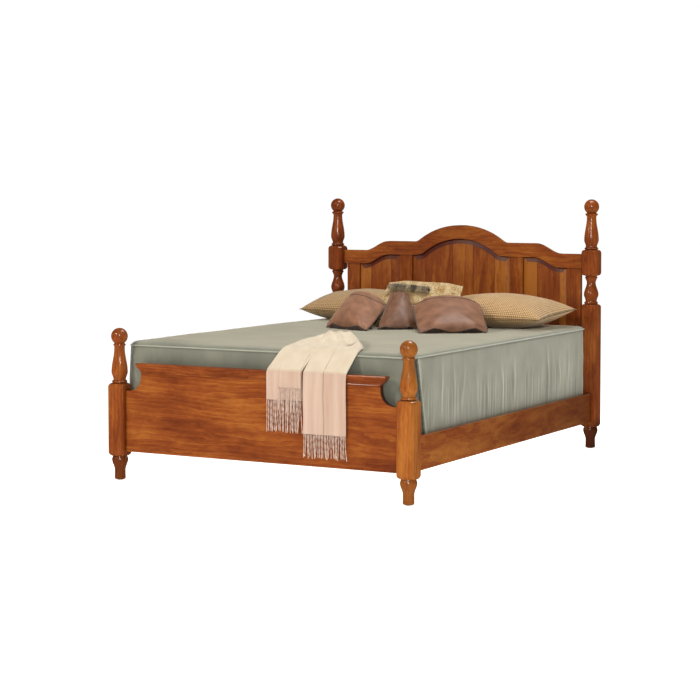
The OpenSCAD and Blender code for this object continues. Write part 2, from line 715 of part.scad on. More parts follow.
// Outline of the mattress seen from above, anticlockwise from the head end's right corner
side_n = 14;
end_n = 10;
arc_n = 3;
function block_outline(out) = let (
    x = mattress_w / 2 + out, y = mattress_l / 2 + out, r = corner_r + out) concat(
    corner_arc(x - r, y - r, r, 0),
    [for (i = [1:end_n - 1]) [(x - r) * (1 - 2 * i / end_n), y]],
    corner_arc(-x + r, y - r, r, 90),
    [for (i = [1:side_n - 1]) [-x, (y - r) * (1 - 2 * i / side_n)]],
    corner_arc(-x + r, -y + r, r, 180),
    [for (i = [1:end_n - 1]) [(-x + r) * (1 - 2 * i / end_n), -y]],
    corner_arc(x - r, -y + r, r, 270),
    [for (i = [1:side_n - 1]) [x, (-y + r) * (1 - 2 * i / side_n)]]);
function corner_arc(x, y, r, a0) = [for (i = [0:arc_n]) let (a = a0 + 90 * i / arc_n)
    [x + r * cos(a), y + r * sin(a)]];
function at(v, z) = [for (p = v) [p[0], p[1] + mattress_y, z]];

// Rings over the crown of the mattress, each inset further and higher than the seam
crown_in = [8, 26, 70];
crown_up = [0.5, 0.82, 1];
module mattress() {
    top = mattress_z + mattress_h;
    bulge = 2;
    color("#E9E4DA") loft(concat(
        [at(block_outline(-12), mattress_z)], [at(block_outline(-bulge), mattress_z + 12)],
        [at(block_outline(0), mattress_z + mattress_h * 0.3)], [at(block_outline(0), seam_z - 24)],
        [at(block_outline(-bulge), seam_z)],
        [for (i = [0:2]) at(block_outline(-bulge - crown_in[i]), seam_z + crown_h * crown_up[i])]),
        [0, mattress_y, mattress_z], [0, mattress_y, top]);
}

module box_spring() {
    r = corner_r;
    x = mattress_w / 2 - box_in - r;
    y = mattress_l / 2 - box_in - r;
    color("#DDD8CC") translate([0, mattress_y, box_z]) linear_extrude(box_h) {
        square([2 * x, 2 * (y + r)], center = true);
        square([2 * (x + r), 2 * y], center = true);
        for (a = [-1, 1], b = [-1, 1]) translate([a * x, b * y]) circle(r, $fn = 64);
    }
}

// Coverlet: a fitted shell over the crown with folds in its drop, and only a short turn-down at the head
fold_n = 23;
function is_head(p) = p[1] > mattress_l / 2 - corner_r * 0.5;
function cover_ring(out, z, fold) = let (base = block_outline(out), n = len(base)) [for (k = [0:n - 1])
    let (p = base[k], grow = fold * fold_d * (1 + cos(360 * fold_n * k / n)) / 2,
        q = block_outline(out + grow)[k], short = is_head(p),
        h = short ? seam_z - 10 + (z - hem_z) * 8 / (seam_z - hem_z) : z)
    [q[0], q[1] + mattress_y, h]];
module coverlet() {
    inner = soft_gap;
    outer = soft_gap + cover_t;
    drops = [hem_z, hem_z + (seam_z - hem_z) * 0.3, hem_z + (seam_z - hem_z) * 0.65, seam_z];
    folds = [0.3, 0.8, 0.6, 0];
    color(sage) loft(concat(
        [for (i = [2:-1:0]) at(block_outline(inner - crown_in[i]), seam_z + crown_h * crown_up[i] + inner)],
        [cover_ring(inner, seam_z, 0)], [cover_ring(inner, hem_z, 0)],
        [for (i = [0:3]) cover_ring(outer, drops[i], folds[i])],
        [for (i = [0:2]) at(block_outline(outer - crown_in[i]), seam_z + crown_h * crown_up[i] + outer)]),
        [0, mattress_y, top_z - cover_t], [0, mattress_y, top_z]);
}

// Piping sewn round the foot end and both sides of the coverlet's top edge
module coverlet_welt() {
    r = corner_r + soft_gap + cover_t;
    x = mattress_w / 2 - corner_r;
    y = mattress_l / 2 - corner_r;
    run = r + welt_r + soft_gap;
    color("#7F867A") translate([0, mattress_y, seam_z]) {
        for (side = [left, right]) {
            translate([side * (x + run), -y, 0]) rotate([-90, 0, 0])
                cylinder(h = 2 * y, r = welt_r, $fn = 24);
            translate([side * x, -y, 0]) rotate([0, 0, side > 0 ? 270 : 180])
                rotate_extrude(angle = 90, $fn = 96) translate([run, 0]) circle(welt_r, $fn = 24);
        }
        translate([-x, -y - run, 0]) rotate([0, 90, 0]) cylinder(h = 2 * x, r = welt_r, $fn = 24);
    }
}

// Pillow: a closed form over four corners, plump in the middle, drawn in between its corners and
// flat where it lies on the coverlet. Corners run anticlockwise from the front left, and the front
// and back rise by different heights from the seam between them.
pillow_n = 7;
pillow_rings = [0.3, 0.58, 0.8, 0.93, 1];
satin_full = 0.38;
sham_full = 0.31;
function border(k) = let (s = floor(k / pillow_n), w = 2 * (k % pillow_n) / pillow_n - 1)
    s == 0 ? [w, -1] : s == 1 ? [1, w] : s == 2 ? [-w, 1] : [-1, -w];
function drawn(uv, d) = [uv[0] * (1 - d * (1 - sq(uv[1]))), uv[1] * (1 - d * (1 - sq(uv[0])))];
function patch(c, uv) = (c[0] * (1 - uv[0]) * (1 - uv[1]) + c[1] * (1 + uv[0]) * (1 - uv[1])
    + c[2] * (1 + uv[0]) * (1 + uv[1]) + c[3] * (1 - uv[0]) * (1 + uv[1])) / 4;
function unit(v) = v / norm(v);
function normal(c) = unit(cross(c[2] - c[0], c[3] - c[1]));
function lying(p) = [p[0], p[1], max(p[2], top_z + soft_gap)];
function plump(uv, h, full) = h * pow((1 - sq(uv[0])) * (1 - sq(uv[1])), full);
function pillow_ring(c, h, s, d, full) = [for (k = [0:4 * pillow_n - 1]) let (b = border(k) * s)
    lying(patch(c, drawn(b, d)) + normal(c) * plump(b, h, full))];
module pillow(c, front, back, d, full) {
    m = len(pillow_rings) - 1;
    mid = patch(c, [0, 0]);
    loft(concat(
        [for (i = [0:m]) pillow_ring(c, -back, pillow_rings[i], d, full)],
        [for (i = [m - 1:-1:0]) pillow_ring(c, front, pillow_rings[i], d, full)]),
        lying(mid - normal(c) * back), mid + normal(c) * front);
}

// Corners of the pillows, from the middle of the headboard's face and the top of the coverlet.
// The shams lie flat, the printed pillow leans on them, and the satin ones lean on those.
head_y = post_y - crest_face;
function set(c) = [for (p = c) [p[0], head_y + p[1], top_z + p[2]]];
sham_left_at = set([[-748, -479, 65], [-48, -556, 56], [-45, -115, 88], [-745, -99, 86]]);
sham_right_at = set([[50, -556, 54], [722, -559, 58], [749, -125, 90], [45, -115, 90]]);
print_at = set([[-215, -668, 1], [275, -668, 1], [266, -478, 224], [-186, -478, 236]]);
satin_left_at = set([[-372, -855, 4], [-52, -981, 4], [-122, -629, 121], [-407, -519, 163]]);
satin_middle_at = set([[-62, -852, 2.6], [118, -740, 2.6], [-5, -612, 181], [-107, -612, 179]]);
satin_right_at = set([[247, -985, 4], [540, -785, 4], [380, -540, 144], [79, -729, 145]]);
sham_back = sham_t * 0.45;
satin_half = satin_t / 2;
middle_share = 0.62;
print_half = print_t / 2;
print_draw_in = draw_in / 4;

module sham(corners) {
    color("#B99D6B") pillow(corners, sham_t - sham_back, sham_back, draw_in, sham_full);
}
module print_pillow() {
    color("#C9B27A") pillow(print_at, print_half, print_half, print_draw_in, satin_full);
}
module satin(corners, share) {
    color("#9C765A") pillow(corners, satin_half * share, satin_half * share, draw_in, satin_full);
}

// Furry band that lies across the printed pillow's front
tie_r = 11;
tie_n = 6;
function tie_at(i) = let (uv = [-0.86 + 1.05 * i / tie_n, 0.66 - 0.16 * i / tie_n])
    patch(print_at, drawn(uv, print_draw_in))
            + normal(print_at) * (plump(uv, print_half, satin_full) + tie_r + 2 * soft_gap);
tie_across = unit(cross(normal(print_at), tie_at(tie_n) - tie_at(0)));
function tie_ring(i) = [for (k = [0:11])
    tie_at(i) + (normal(print_at) * cos(30 * k) - tie_across * sin(30 * k)) * tie_r];
module pillow_tie() {
    along = unit(tie_at(tie_n) - tie_at(0));
    color("#6E6558")
        loft([for (i = [0:tie_n]) tie_ring(i)], tie_at(0) - along * 3, tie_at(tie_n) + along * 3);
}

// Throw: folded into a long band and then in half. Its fold lies crumpled on the mattress, and its
// two ends hang over the footboard. Each end is a strip of stations, each with the place of its
// underside in Y and Z, its middle in X, its width, its thickness and the height of its folds.
cap_front = -post_y - cap_t / 2;
cap_back = -post_y + cap_t / 2;
box_in = 2;
bed_front = -mattress_l / 2 + mattress_y;
throw_gap = 9;
left_x = 153;
left_w = throw_w - 34;
right_x = left_x + (left_w + throw_w) / 2 + throw_gap;
hang_y = cap_front - soft_gap;
function hanging(x, w, hem, shift) = let (
    cap_edge = [hang_y + 1, footboard_top + 1.5], bed_edge = [bed_front - 12, seam_z + 3]) [
    [hang_y, hem, x, w, throw_t, 1.5], [hang_y, (hem + footboard_top) / 2, x, w, throw_t, 2],
    [hang_y, footboard_top - 2.5, x, w, throw_t, 2],
    for (t = [0, 0.33, 0.67, 1]) let (p = cap_edge + (bed_edge - cap_edge) * t)
        [p[0], p[1], x + shift * 0.9 * t, w, throw_t + t, 2 + 2 * t],
    [bed_front + 6, top_z - 4, x + shift, w, throw_t + 3, 4]];
// What lies on the mattress: distance behind its front edge, shift in X, width, thickness, fold height
function lying_part(x, w, rows) = [for (r = rows)
    [bed_front + r[0], top_z + soft_gap + 0.4, x + r[1], w * r[2], r[3], r[4]]];
left_rows = [[30, 33, 1, 11, 5], [90, 18, 1, 13, 7], [170, 4, 0.98, 17, 9],
    [260, -4, 0.97, 22, 10], [350, -12, 0.96, 26, 10], [440, -28, 0.94, 28, 9],
    [520, -50, 0.88, 26, 8], [570, -66, 0.7, 12, 4], [585, -70, 0.5, 4, 1]];
right_rows = [[30, 18, 1, 13, 5], [90, -2, 0.99, 18, 8], [170, -46, 0.96, 26, 11],
    [260, -104, 0.92, 36, 12], [350, -165, 0.86, 44, 11], [440, -215, 0.76, 42, 8],
    [510, -246, 0.6, 24, 5], [540, -256, 0.42, 6, 1]];
left_shift = 36;
right_shift = 22;
across_n = 10;
folds_n = 3;
function station(v, i) = let (p = v[i], a = v[max(0, i - 1)], b = v[min(len(v) - 1, i + 1)],
    d = unit([b[0] - a[0], b[1] - a[1]]), up = [-d[1], d[0]]) concat(
    [for (k = [0:across_n]) [p[2] + (k / across_n - 0.5) * p[3], p[0], p[1]]],
    [for (k = [across_n:-1:0]) let (s = k / across_n - 0.5,
        h = p[4] * (k == 0 || k == across_n ? 0.4 : 1) + p[5] * (1 - cos(360 * folds_n * s)) / 2)
        [p[2] + s * p[3], p[0] + up[0] * h, p[1] + up[1] * h]]);
module strip(v) {
    n = len(v);
    c = across_n + 1;
    m = 2 * c;
    o = (n - 1) * m;
    polyhedron([for (i = [0:n - 1]) each station(v, i)], concat(
        [for (k = [0:c - 2]) each [[k + 1, k, m - 1 - k], [k + 1, m - 1 - k, m - 2 - k]]],
        [for (j = [0:n - 2], k = [0:m - 1]) let (a = j * m + k, b = j * m + (k + 1) % m)
            each [[a, b, b + m], [a, b + m, a + m]]],
        [for (k = [0:c - 2])
            each [[o + k, o + k + 1, o + m - 1 - k], [o + k + 1, o + m - 2 - k, o + m - 1 - k]]]));
}

// Short upper layer that hangs in front of the left end
layer_x = left_x + 30;
layer_w = 118;
layer_z = left_hem_z + 55;
layer_t = 4;
layer_y = hang_y - throw_t - 2.5;
module throw() {
    color("#EFE0C8") union() {
        strip(concat(hanging(left_x, left_w, left_hem_z, left_shift),
            lying_part(left_x, left_w, left_rows)));
        strip(concat(hanging(right_x, throw_w, right_hem_z, right_shift),
            lying_part(right_x, throw_w, right_rows)));
        translate([layer_x - layer_w / 2, layer_y - layer_t, layer_z])
            cube([layer_w, layer_t + 3, footboard_top - 8 - layer_z]);
    }
}
tassel_r = 2.6;
module tassels(x, y, w, z, l) {
    n = round(tassel_n * w / throw_w);
    for (k = [0:n - 1])
        translate([x + (w - 10) * (k / (n - 1) - 0.5), y, z - l - fit])
            cylinder(h = l, r = tassel_r, $fn = 16);
}
module throw_fringe() {
    color("#EFE0C8") {
        tassels(left_x, hang_y - throw_t / 2, left_w, left_hem_z, long_fringe_l);
        tassels(right_x, hang_y - throw_t / 2, throw_w, right_hem_z, fringe_l);
        tassels(layer_x, layer_y - layer_t / 2, layer_w, layer_z, fringe_l);
    }
}

head_post(left);  // head_post_left
head_post(right);  // head_post_right
foot_post(left);  // foot_post_left
foot_post(right);  // foot_post_right
headboard_crest_rail();
upright(-stile_out, -stile_in);  // headboard_stile_left
upright(stile_in, stile_out);  // headboard_stile_right
upright(-mullion_out, -mullion_in);  // headboard_mullion_left
upright(mullion_in, mullion_out);  // headboard_mullion_right
headboard_panel(-1);  // headboard_panel_left
headboard_panel(0);  // headboard_panel_centre
headboard_panel(1);  // headboard_panel_right
headboard_bottom_rail();
footboard_panel();
footboard_cap();
side_rail(left);  // side_rail_left
side_rail(right);  // side_rail_right
ledger(left);  // ledger_left
ledger(right);  // ledger_right
for (i = [1:slat_n]) slat(i);
for (i = [1:leg_n]) centre_leg(slat_n - leg_n + i);
for (i = [1:leg_n]) leveler(slat_n - leg_n + i);
hook_plate(left, head);  // hook_plate_head_left
hook_plate(right, head);  // hook_plate_head_right
hook_plate(left, foot);  // hook_plate_foot_left
hook_plate(right, foot);  // hook_plate_foot_right
slot_plate(left, head);  // slot_plate_head_left
slot_plate(right, head);  // slot_plate_head_right
slot_plate(left, foot);  // slot_plate_foot_left
slot_plate(right, foot);  // slot_plate_foot_right
plate_screws(-1);  // hook_plate_screws
plate_screws(1);  // slot_plate_screws
ledger_screws();
slat_screws();
foot_glides();
box_spring();
mattress();
coverlet();
coverlet_welt();
sham(sham_left_at);  // sham_left
sham(sham_right_at);  // sham_right
print_pillow();
pillow_tie();
satin(satin_left_at, 1);  // satin_left
satin(satin_middle_at, middle_share);  // satin_middle
satin(satin_right_at, 1);  // satin_right
throw();
throw_fringe();
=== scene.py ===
import math
import random

import bmesh
import bpy
import numpy as np
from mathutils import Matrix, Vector, noise


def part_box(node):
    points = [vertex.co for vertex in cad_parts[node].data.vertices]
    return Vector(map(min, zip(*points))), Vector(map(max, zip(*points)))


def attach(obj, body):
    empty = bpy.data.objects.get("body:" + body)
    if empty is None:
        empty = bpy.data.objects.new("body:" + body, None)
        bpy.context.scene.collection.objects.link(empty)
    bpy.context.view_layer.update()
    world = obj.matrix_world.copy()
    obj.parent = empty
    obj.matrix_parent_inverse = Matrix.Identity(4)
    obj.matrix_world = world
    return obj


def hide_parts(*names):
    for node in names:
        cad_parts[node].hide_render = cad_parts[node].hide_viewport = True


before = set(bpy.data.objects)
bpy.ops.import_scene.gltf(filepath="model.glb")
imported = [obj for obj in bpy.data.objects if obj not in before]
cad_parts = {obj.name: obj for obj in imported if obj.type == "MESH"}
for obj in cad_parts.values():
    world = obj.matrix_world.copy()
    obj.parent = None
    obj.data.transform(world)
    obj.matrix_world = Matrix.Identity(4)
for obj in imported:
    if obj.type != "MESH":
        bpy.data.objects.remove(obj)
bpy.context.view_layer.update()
scene = bpy.context.scene
scene.view_settings.view_transform = "Standard"

# The photographer's camera: a long lens at standing eye height, off the bed's right foot corner.
# It is turned down a little, and the rest of the way the picture is shifted, as on a view camera.
camera = bpy.data.objects.new("camera", bpy.data.cameras.new("camera"))
scene.collection.objects.link(camera)
camera.location = (4.6508, -8.5995, 1.4103)
turned_down, turned_left = 2.804, 28.959
camera.rotation_euler = (math.radians(90 - turned_down), 0, math.radians(turned_left))
camera.data.sensor_width = 36
camera.data.lens = 99.354
camera.data.shift_y = -0.1
scene.camera = camera


# A pale studio: a floor of white paper that runs into a white world. A warm soft box stands front left, a
# smaller one front right and a wide one overhead; a fourth, front right, gives only the varnish its
# highlights. The floor and the world are kept dim in reflections, so that they lay no haze on the wood.
def linear(colour):
    """An sRGB hex colour as the linear values that Blender's sockets take."""
    parts = [int(colour[i:i + 2], 16) / 255 for i in (1, 3, 5)]
    return (*[c / 12.92 if c <= 0.04045 else ((c + 0.055) / 1.055) ** 2.4 for c in parts], 1)


def feed(node, sockets):
    """Gives a node's sockets, by name or number, what they take: another socket or a node's first output
    to link, an sRGB hex colour or a plain value."""
    for name, value in sockets.items():
        if isinstance(value, bpy.types.Node):
            value = value.outputs[0]
        if isinstance(value, bpy.types.NodeSocket):
            node.id_data.links.new(value, node.inputs[name])
        else:
            node.inputs[name].default_value = linear(value) if isinstance(value, str) else value


def add(owner, kind, sockets=None, stops=(), **settings):
    """Adds one shader node to a material or a world, with its settings, its sockets and its ramp's stops."""
    node = owner.node_tree.nodes.new("ShaderNode" + kind)
    for name, value in settings.items():
        setattr(node, name, value)
    feed(node, sockets or {})
    for i, (place, colour) in enumerate(stops):
        stop = node.color_ramp.elements[i] if i < 2 else node.color_ramp.elements.new(place)
        stop.position = place
        stop.color = linear(colour)
    return node


def finish_of(name, **values):
    """A new material with its Principled shader, set to the values given."""
    material = bpy.data.materials.new(name)
    material.use_nodes = True
    shader = material.node_tree.nodes["Principled BSDF"]
    feed(shader, {key.replace("_", " "): value for key, value in values.items()})
    return material, shader


def mesh_piece(name, mesh_maker, *materials):
    """A smooth object at the origin from a bmesh, which it frees."""
    mesh = bpy.data.meshes.new(name)
    mesh_maker.to_mesh(mesh)
    mesh_maker.free()
    for material in materials:
        mesh.materials.append(material)
    mesh.shade_smooth()
    piece = bpy.data.objects.new(name, mesh)
    scene.collection.objects.link(piece)
    return piece


paper, shader = finish_of("studio_floor", Base_Color="#F8F7F5", Roughness=1.0, Specular_IOR_Level=0.0,
                          Emission_Color="#FFFFFF", Emission_Strength=0.83)
bm = bmesh.new()
bmesh.ops.create_grid(bm, x_segments=1, y_segments=1, size=40)
just_under_the_feet = -0.0005
bmesh.ops.translate(bm, vec=(0, 0, just_under_the_feet), verts=bm.verts)
floor = mesh_piece("floor", bm, paper)
floor.visible_glossy = False

world = bpy.data.worlds.new("studio")
world.use_nodes = True
seen, lighting, less_in_reflections = 1.02, 0.2, -0.16
rays = add(world, "LightPath").outputs
glow = add(world, "MapRange", {"Value": rays["Is Camera Ray"], "To Min": lighting, "To Max": seen})
glow = add(world, "Math", {0: rays["Is Glossy Ray"], 1: less_in_reflections, 2: glow},
           operation="MULTIPLY_ADD")
feed(world.node_tree.nodes["Background"], {"Color": "#FFFFFF", "Strength": glow})
scene.world = world
aimed_at = Vector((0, 0, 0.6))
for name, place, size, power, tone in (
        ("key", (-2.7, -6.0, 4.2), 0.8, 200, "#FFF4E8"),
        ("side", (3.0, -4.9, 2.1), 0.55, 66, "#FFF8EE"),
        ("overhead", (0.8, 0.7, 4.4), 1.6, 124, "#FFFFFF"),
        ("sparkle", (2.4, -6.2, 3.3), 1.0, 190, "#FFF2EA")):
    lamp = bpy.data.objects.new(name, bpy.data.lights.new(name, "AREA"))
    lamp.data.size = size
    lamp.data.energy = power
    lamp.data.color = linear(tone)[:3]
    lamp.location = place
    lamp.rotation_euler = (aimed_at - Vector(place)).to_track_quat("-Z", "Y").to_euler()
    lamp.visible_diffuse = name != "sparkle"
    scene.collection.objects.link(lamp)

# The four posts are turned from glued-up cherry blanks: square blocks with chamfered corners between a
# turned foot, a vase-shaped neck and a cannonball. They are stained reddish brown and varnished, so growth
# rings and blotches show through a smooth, half-glossy coat. Painted shade darkens their turnings and feet.
wave_at_one_metre = 0.314   # a wave texture of this scale repeats once a metre
lengthwise = {"X": (0, math.pi / 2, 0), "Y": (math.pi / 2, 0, 0), "Z": (0, 0, 0)}


def cherry(name, along, ring=0.011, boards=0, heart=(0.11, 0.05, 0), nook_shade=0.6, dark=(), bevel_sheen=0,
           cuts=0, pale=0, gloss=0.5):
    """Stained and varnished cherry whose grain runs along X, Y or Z, with growth rings as wide as ring,
    round a heart. boards is the width of its strips, glaze how much painted shade darkens its nooks, slopes
    how strong a painted dark sheen lies on its up-facing borders, and cuts how dark its sawn edges are. dark
    lists the axis, start, end and depth of each darkening along it: painted shade towards the feet and the
    rails' head ends, and a darker tone on one post's vase."""
    polished, rubbed = 0.09, 0.3
    wood, shader = finish_of(name, Roughness=0.42, Specular_IOR_Level=0.1, Coat_Weight=gloss,
                             Coat_Roughness=polished if gloss > 0.3 else rubbed)
    place = add(wood, "TexCoord").outputs["Object"]
    tint = None
    if boards:
        across = add(wood, "SeparateXYZ", {"Vector": place}).outputs["X"]
        strip = add(wood, "Math", {0: across, 1: boards}, operation="DIVIDE")
        strip = add(wood, "Math", {0: strip, 1: 0.37}, operation="ADD")
        joint = add(wood, "Math", {0: strip, 1: 0.5}, operation="PINGPONG")
        strip = add(wood, "Math", {0: strip}, operation="FLOOR")
        dice = add(wood, "TexWhiteNoise", {"W": strip}, noise_dimensions="1D")
        tint = dice.outputs["Value"]
        shift = add(wood, "VectorMath", {0: dice.outputs["Color"], 1: (0.7, 0.5, 1.3)},
                    operation="MULTIPLY")
        place = add(wood, "VectorMath", {0: place, 1: shift}, operation="ADD")
    grain = add(wood, "Mapping", {"Vector": place, "Rotation": lengthwise[along], "Location": heart})

    # Features to the metre across and along the grain: the trunk's wander 140 and 590 mm, fibres 3 and
    # 110 mm, blotches 90 and 330 mm, speckles 13 and 29 mm, gum streaks 11 and 200 mm.
    slow = add(wood, "Mapping", {"Vector": grain, "Scale": (7, 7, 1.7)})
    wander = add(wood, "TexNoise", {"Vector": slow, "Scale": 1.0, "Detail": 3.0}).outputs["Color"]
    bent = add(wood, "VectorMath", {0: wander, 1: (0.09, 0.09, 0), 2: grain}, operation="MULTIPLY_ADD")
    marks = []
    for per_metre, detail, roughness in (((330, 330, 9), 4.0, 0.5), ((11, 11, 3), 6.0, 0.6),
                                         ((75, 75, 34), 3.0, 0.5), ((90, 90, 5), 3.0, 0.5)):
        drawn = add(wood, "Mapping", {"Vector": bent, "Scale": per_metre})
        marks.append(add(wood, "TexNoise", {"Vector": drawn, "Scale": 1.0, "Detail": detail,
                         "Roughness": roughness}))
    fibre, blotch, speckle, gum = marks
    rings = add(wood, "TexWave", {"Vector": bent, "Scale": wave_at_one_metre / ring,
                "Distortion": 1.2, "Detail": 3.0, "Detail Scale": 1.4}, wave_type="RINGS",
                rings_direction="Z", wave_profile="SAW").outputs["Fac"]
    tone = add(wood, "Math", {0: rings, 1: 0.10, 2: 0.06 + pale}, operation="MULTIPLY_ADD")
    for mark, share in ((fibre, 0.24), (speckle, 0.12), (blotch, 0.72), (tint, 0.24)):
        if mark:
            tone = add(wood, "Math", {0: mark, 1: share, 2: tone}, operation="MULTIPLY_ADD")
    colour = add(wood, "ValToRGB", {"Fac": tone}, stops=[
        (0.34, "#4C1D08"), (0.86, "#AE6A28"), (0.52, "#703210"), (0.66, "#8C4618")])

    # Over the grain lie gum streaks, glue lines, darkening along an axis, mostly painted shade, a painted
    # dark sheen on up-facing borders, darker sawn edges, and painted shade in the nooks from ambient
    # occlusion: each is a source, the two values it runs between, its two shares, its colour.
    coats = [(gum, 0.58, 0.72, 0, 0.3, "#4A1A08")]
    if boards:
        coats.append((joint, 0.006, 0.016, 0.7, 0, "#3A1206"))
    # Painted shade along an axis: darker towards the posts' feet and the rails' head ends.
    level = add(wood, "SeparateXYZ", {"Vector": place}).outputs
    coats += [(level[axis], start, end, 0, depth, "#330F06") for axis, start, end, depth in dark]
    facing = add(wood, "NewGeometry").outputs["True Normal"]
    facing = add(wood, "SeparateXYZ", {"Vector": facing}).outputs
    # Painted sheen: faces tilted up, such as the panels' top bevels, are mixed toward a dark purple-brown.
    if bevel_sheen:
        coats.append((facing["Z"], 0.12, 0.2, 0, bevel_sheen, "#4A1E20"))
    if cuts:
        faced = add(wood, "Math", {0: facing["Y"]}, operation="ABSOLUTE")
        coats.append((faced, 0.2, 0.4, cuts, 0, "#260C05"))
    # Painted shade: ambient occlusion darkens nooks, turnings and recesses.
    nook = add(wood, "AmbientOcclusion", {"Distance": 0.014}, samples=6).outputs["AO"]
    coats.append((nook, 0.35, 0.85, nook_shade, 0, "#3A1206"))
    for source, start, end, first, last, stain in coats:
        share = add(wood, "MapRange", {"Value": source, "From Min": start, "From Max": end,
                    "To Min": first, "To Max": last})
        colour = add(wood, "Mix", {0: share, 6: colour, 7: stain}, data_type="RGBA").outputs[2]
    bump = add(wood, "Bump", {"Height": fibre, "Strength": 0.12, "Distance": 0.0004})
    feed(shader, {"Base Color": colour, "Normal": bump})
    return wood


def finished(material, *names):
    """Gives CAD nodes their finish."""
    for name in names:
        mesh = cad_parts[name].data
        mesh.materials.clear()
        mesh.materials.append(material)


# Painted shade darkens each post towards its foot.
finished(cherry("cherry_head_post", "Z", ring=0.012, dark=[("Z", 0.17, 0.10, 0.8)], pale=-0.05),
         "head_post_left", "head_post_right")
finished(cherry("cherry_foot_post", "Z", ring=0.012, dark=[("Z", 0.135, 0.105, 0.5)]), "foot_post_left")
finished(cherry("cherry_pale_post", "Z", ring=0.012, pale=0.13,
                dark=[("Z", 0.135, 0.105, 0.3), ("Z", 0.53, 0.58, 0.24)]), "foot_post_right")

# The headboard is a frame-and-panel: an arched crest rail, a bottom rail, stiles and mullions, with raised
# panels glued up from upright strips. Their up-facing bevels carry a painted dark purple-brown sheen, and
# their coat is rubbed duller.
finished(cherry("cherry_crest", "X", ring=0.016), "headboard_crest_rail", "headboard_bottom_rail")
finished(cherry("cherry_upright", "Z", ring=0.014, heart=(0.3, 0.2, 0.4)), "headboard_stile_left",
         "headboard_stile_right", "headboard_mullion_left", "headboard_mullion_right")
finished(cherry("cherry_panel", "Z", ring=0.018, boards=0.128, heart=(0.2, 0.12, 0.1), bevel_sheen=0.8,
                gloss=0.2), "headboard_panel_left", "headboard_panel_centre", "headboard_panel_right")

# The footboard is one wide panel with its grain lying, flat sawn, so that its rings run out in long
# tongues; a moulded cap sits on it. The side rails are planks of the same wood, painted darker towards the
# head as shade.
finished(cherry("cherry_footboard", "X", ring=0.02, heart=(-0.33, 0.99, 0), nook_shade=0.7, cuts=0.85),
         "footboard_panel")
finished(cherry("cherry_cap", "X", ring=0.012, heart=(0.12, 0.07, 0.3), pale=-0.05), "footboard_cap")
finished(cherry("cherry_rail", "Y", ring=0.015, heart=(0.1, 0.2, 0), dark=[("Y", -0.6, 1.1, 0.6)],
                pale=0.05), "side_rail_left", "side_rail_right")


# Under the bedding: ledgers, slats and centre legs of plain planed poplar, pale and slightly green, dry
# to the touch, with no varnish.
def poplar(name, along):
    """Planed poplar whose grain runs along X, Y or Z: bands 22 mm wide, fibres 2 mm."""
    wood, shader = finish_of(name, Roughness=0.72)
    place = add(wood, "TexCoord").outputs["Object"]
    grain = add(wood, "Mapping", {"Vector": place, "Rotation": lengthwise[along]})
    broad = add(wood, "Mapping", {"Vector": grain, "Scale": (45, 45, 3)})
    band = add(wood, "TexNoise", {"Vector": broad, "Scale": 1.0, "Detail": 5.0})
    fine = add(wood, "Mapping", {"Vector": grain, "Scale": (500, 500, 14)})
    fibre = add(wood, "TexNoise", {"Vector": fine, "Scale": 1.0, "Detail": 2.0})
    tone = add(wood, "Math", {0: fibre, 1: 0.3, 2: band}, operation="MULTIPLY_ADD")
    colour = add(wood, "ValToRGB", {"Fac": tone}, stops=[
        (0.45, "#8F7A50"), (0.85, "#D9C596"), (0.65, "#C2AB79")])
    bump = add(wood, "Bump", {"Height": fibre, "Strength": 0.2, "Distance": 0.0003})
    feed(shader, {"Base Color": colour, "Normal": bump})
    return wood


finished(poplar("poplar_slat", "X"), *[f"slat_{i}" for i in range(1, 6)])
finished(poplar("poplar_ledger", "Y"), "ledger_left", "ledger_right")
finished(poplar("poplar_leg", "Z"), *[f"centre_leg_{i}" for i in range(1, 4)])

# Zinc-plated steel: the rail hooks and slotted plates, and all the screws. The plating is bright, faintly
# yellow, with cloudy spangle about 4 mm across.
zinc, shader = finish_of("zinc_plated_steel", Metallic=1.0)
place = add(zinc, "TexCoord").outputs["Object"]
spangle = add(zinc, "TexVoronoi", {"Vector": place, "Scale": 260.0}).outputs["Color"]
spangle = add(zinc, "RGBToBW", {"Color": spangle})
cloud = add(zinc, "TexNoise", {"Vector": place, "Scale": 90.0, "Detail": 4.0})
patina = add(zinc, "Math", {0: spangle, 1: 0.4, 2: cloud}, operation="MULTIPLY_ADD")
colour = add(zinc, "ValToRGB", {"Fac": patina}, stops=[(0.35, "#9C9A92"), (0.95, "#CFCCBF")])
rough = add(zinc, "MapRange", {"Value": patina, "To Min": 0.28, "To Max": 0.5})
feed(shader, {"Base Color": colour, "Roughness": rough})
plates = [f"{kind}_plate_{end}_{side}" for kind in ("hook", "slot") for end in ("head", "foot")
          for side in ("left", "right")]
finished(zinc, *plates, "hook_plate_screws", "slot_plate_screws", "ledger_screws", "slat_screws")

# Moulded nylon: the glides nailed under the posts, and the levelers that screw into the centre legs. It is
# off-white and waxy, with a fine mould texture and scuffs about 6 mm across from the floor.
nylon, shader = finish_of("moulded_nylon", Roughness=0.45, IOR=1.53)
place = add(nylon, "TexCoord").outputs["Object"]
scuff = add(nylon, "TexNoise", {"Vector": place, "Scale": 160.0, "Detail": 5.0})
colour = add(nylon, "ValToRGB", {"Fac": scuff}, stops=[(0.3, "#A89F90"), (0.7, "#DDD6C8")])
bump = add(nylon, "Bump", {"Height": scuff, "Strength": 0.15, "Distance": 0.0003})
feed(shader, {"Base Color": colour, "Normal": bump})
finished(nylon, "foot_glides", *[f"leveler_{i}" for i in range(1, 4)])


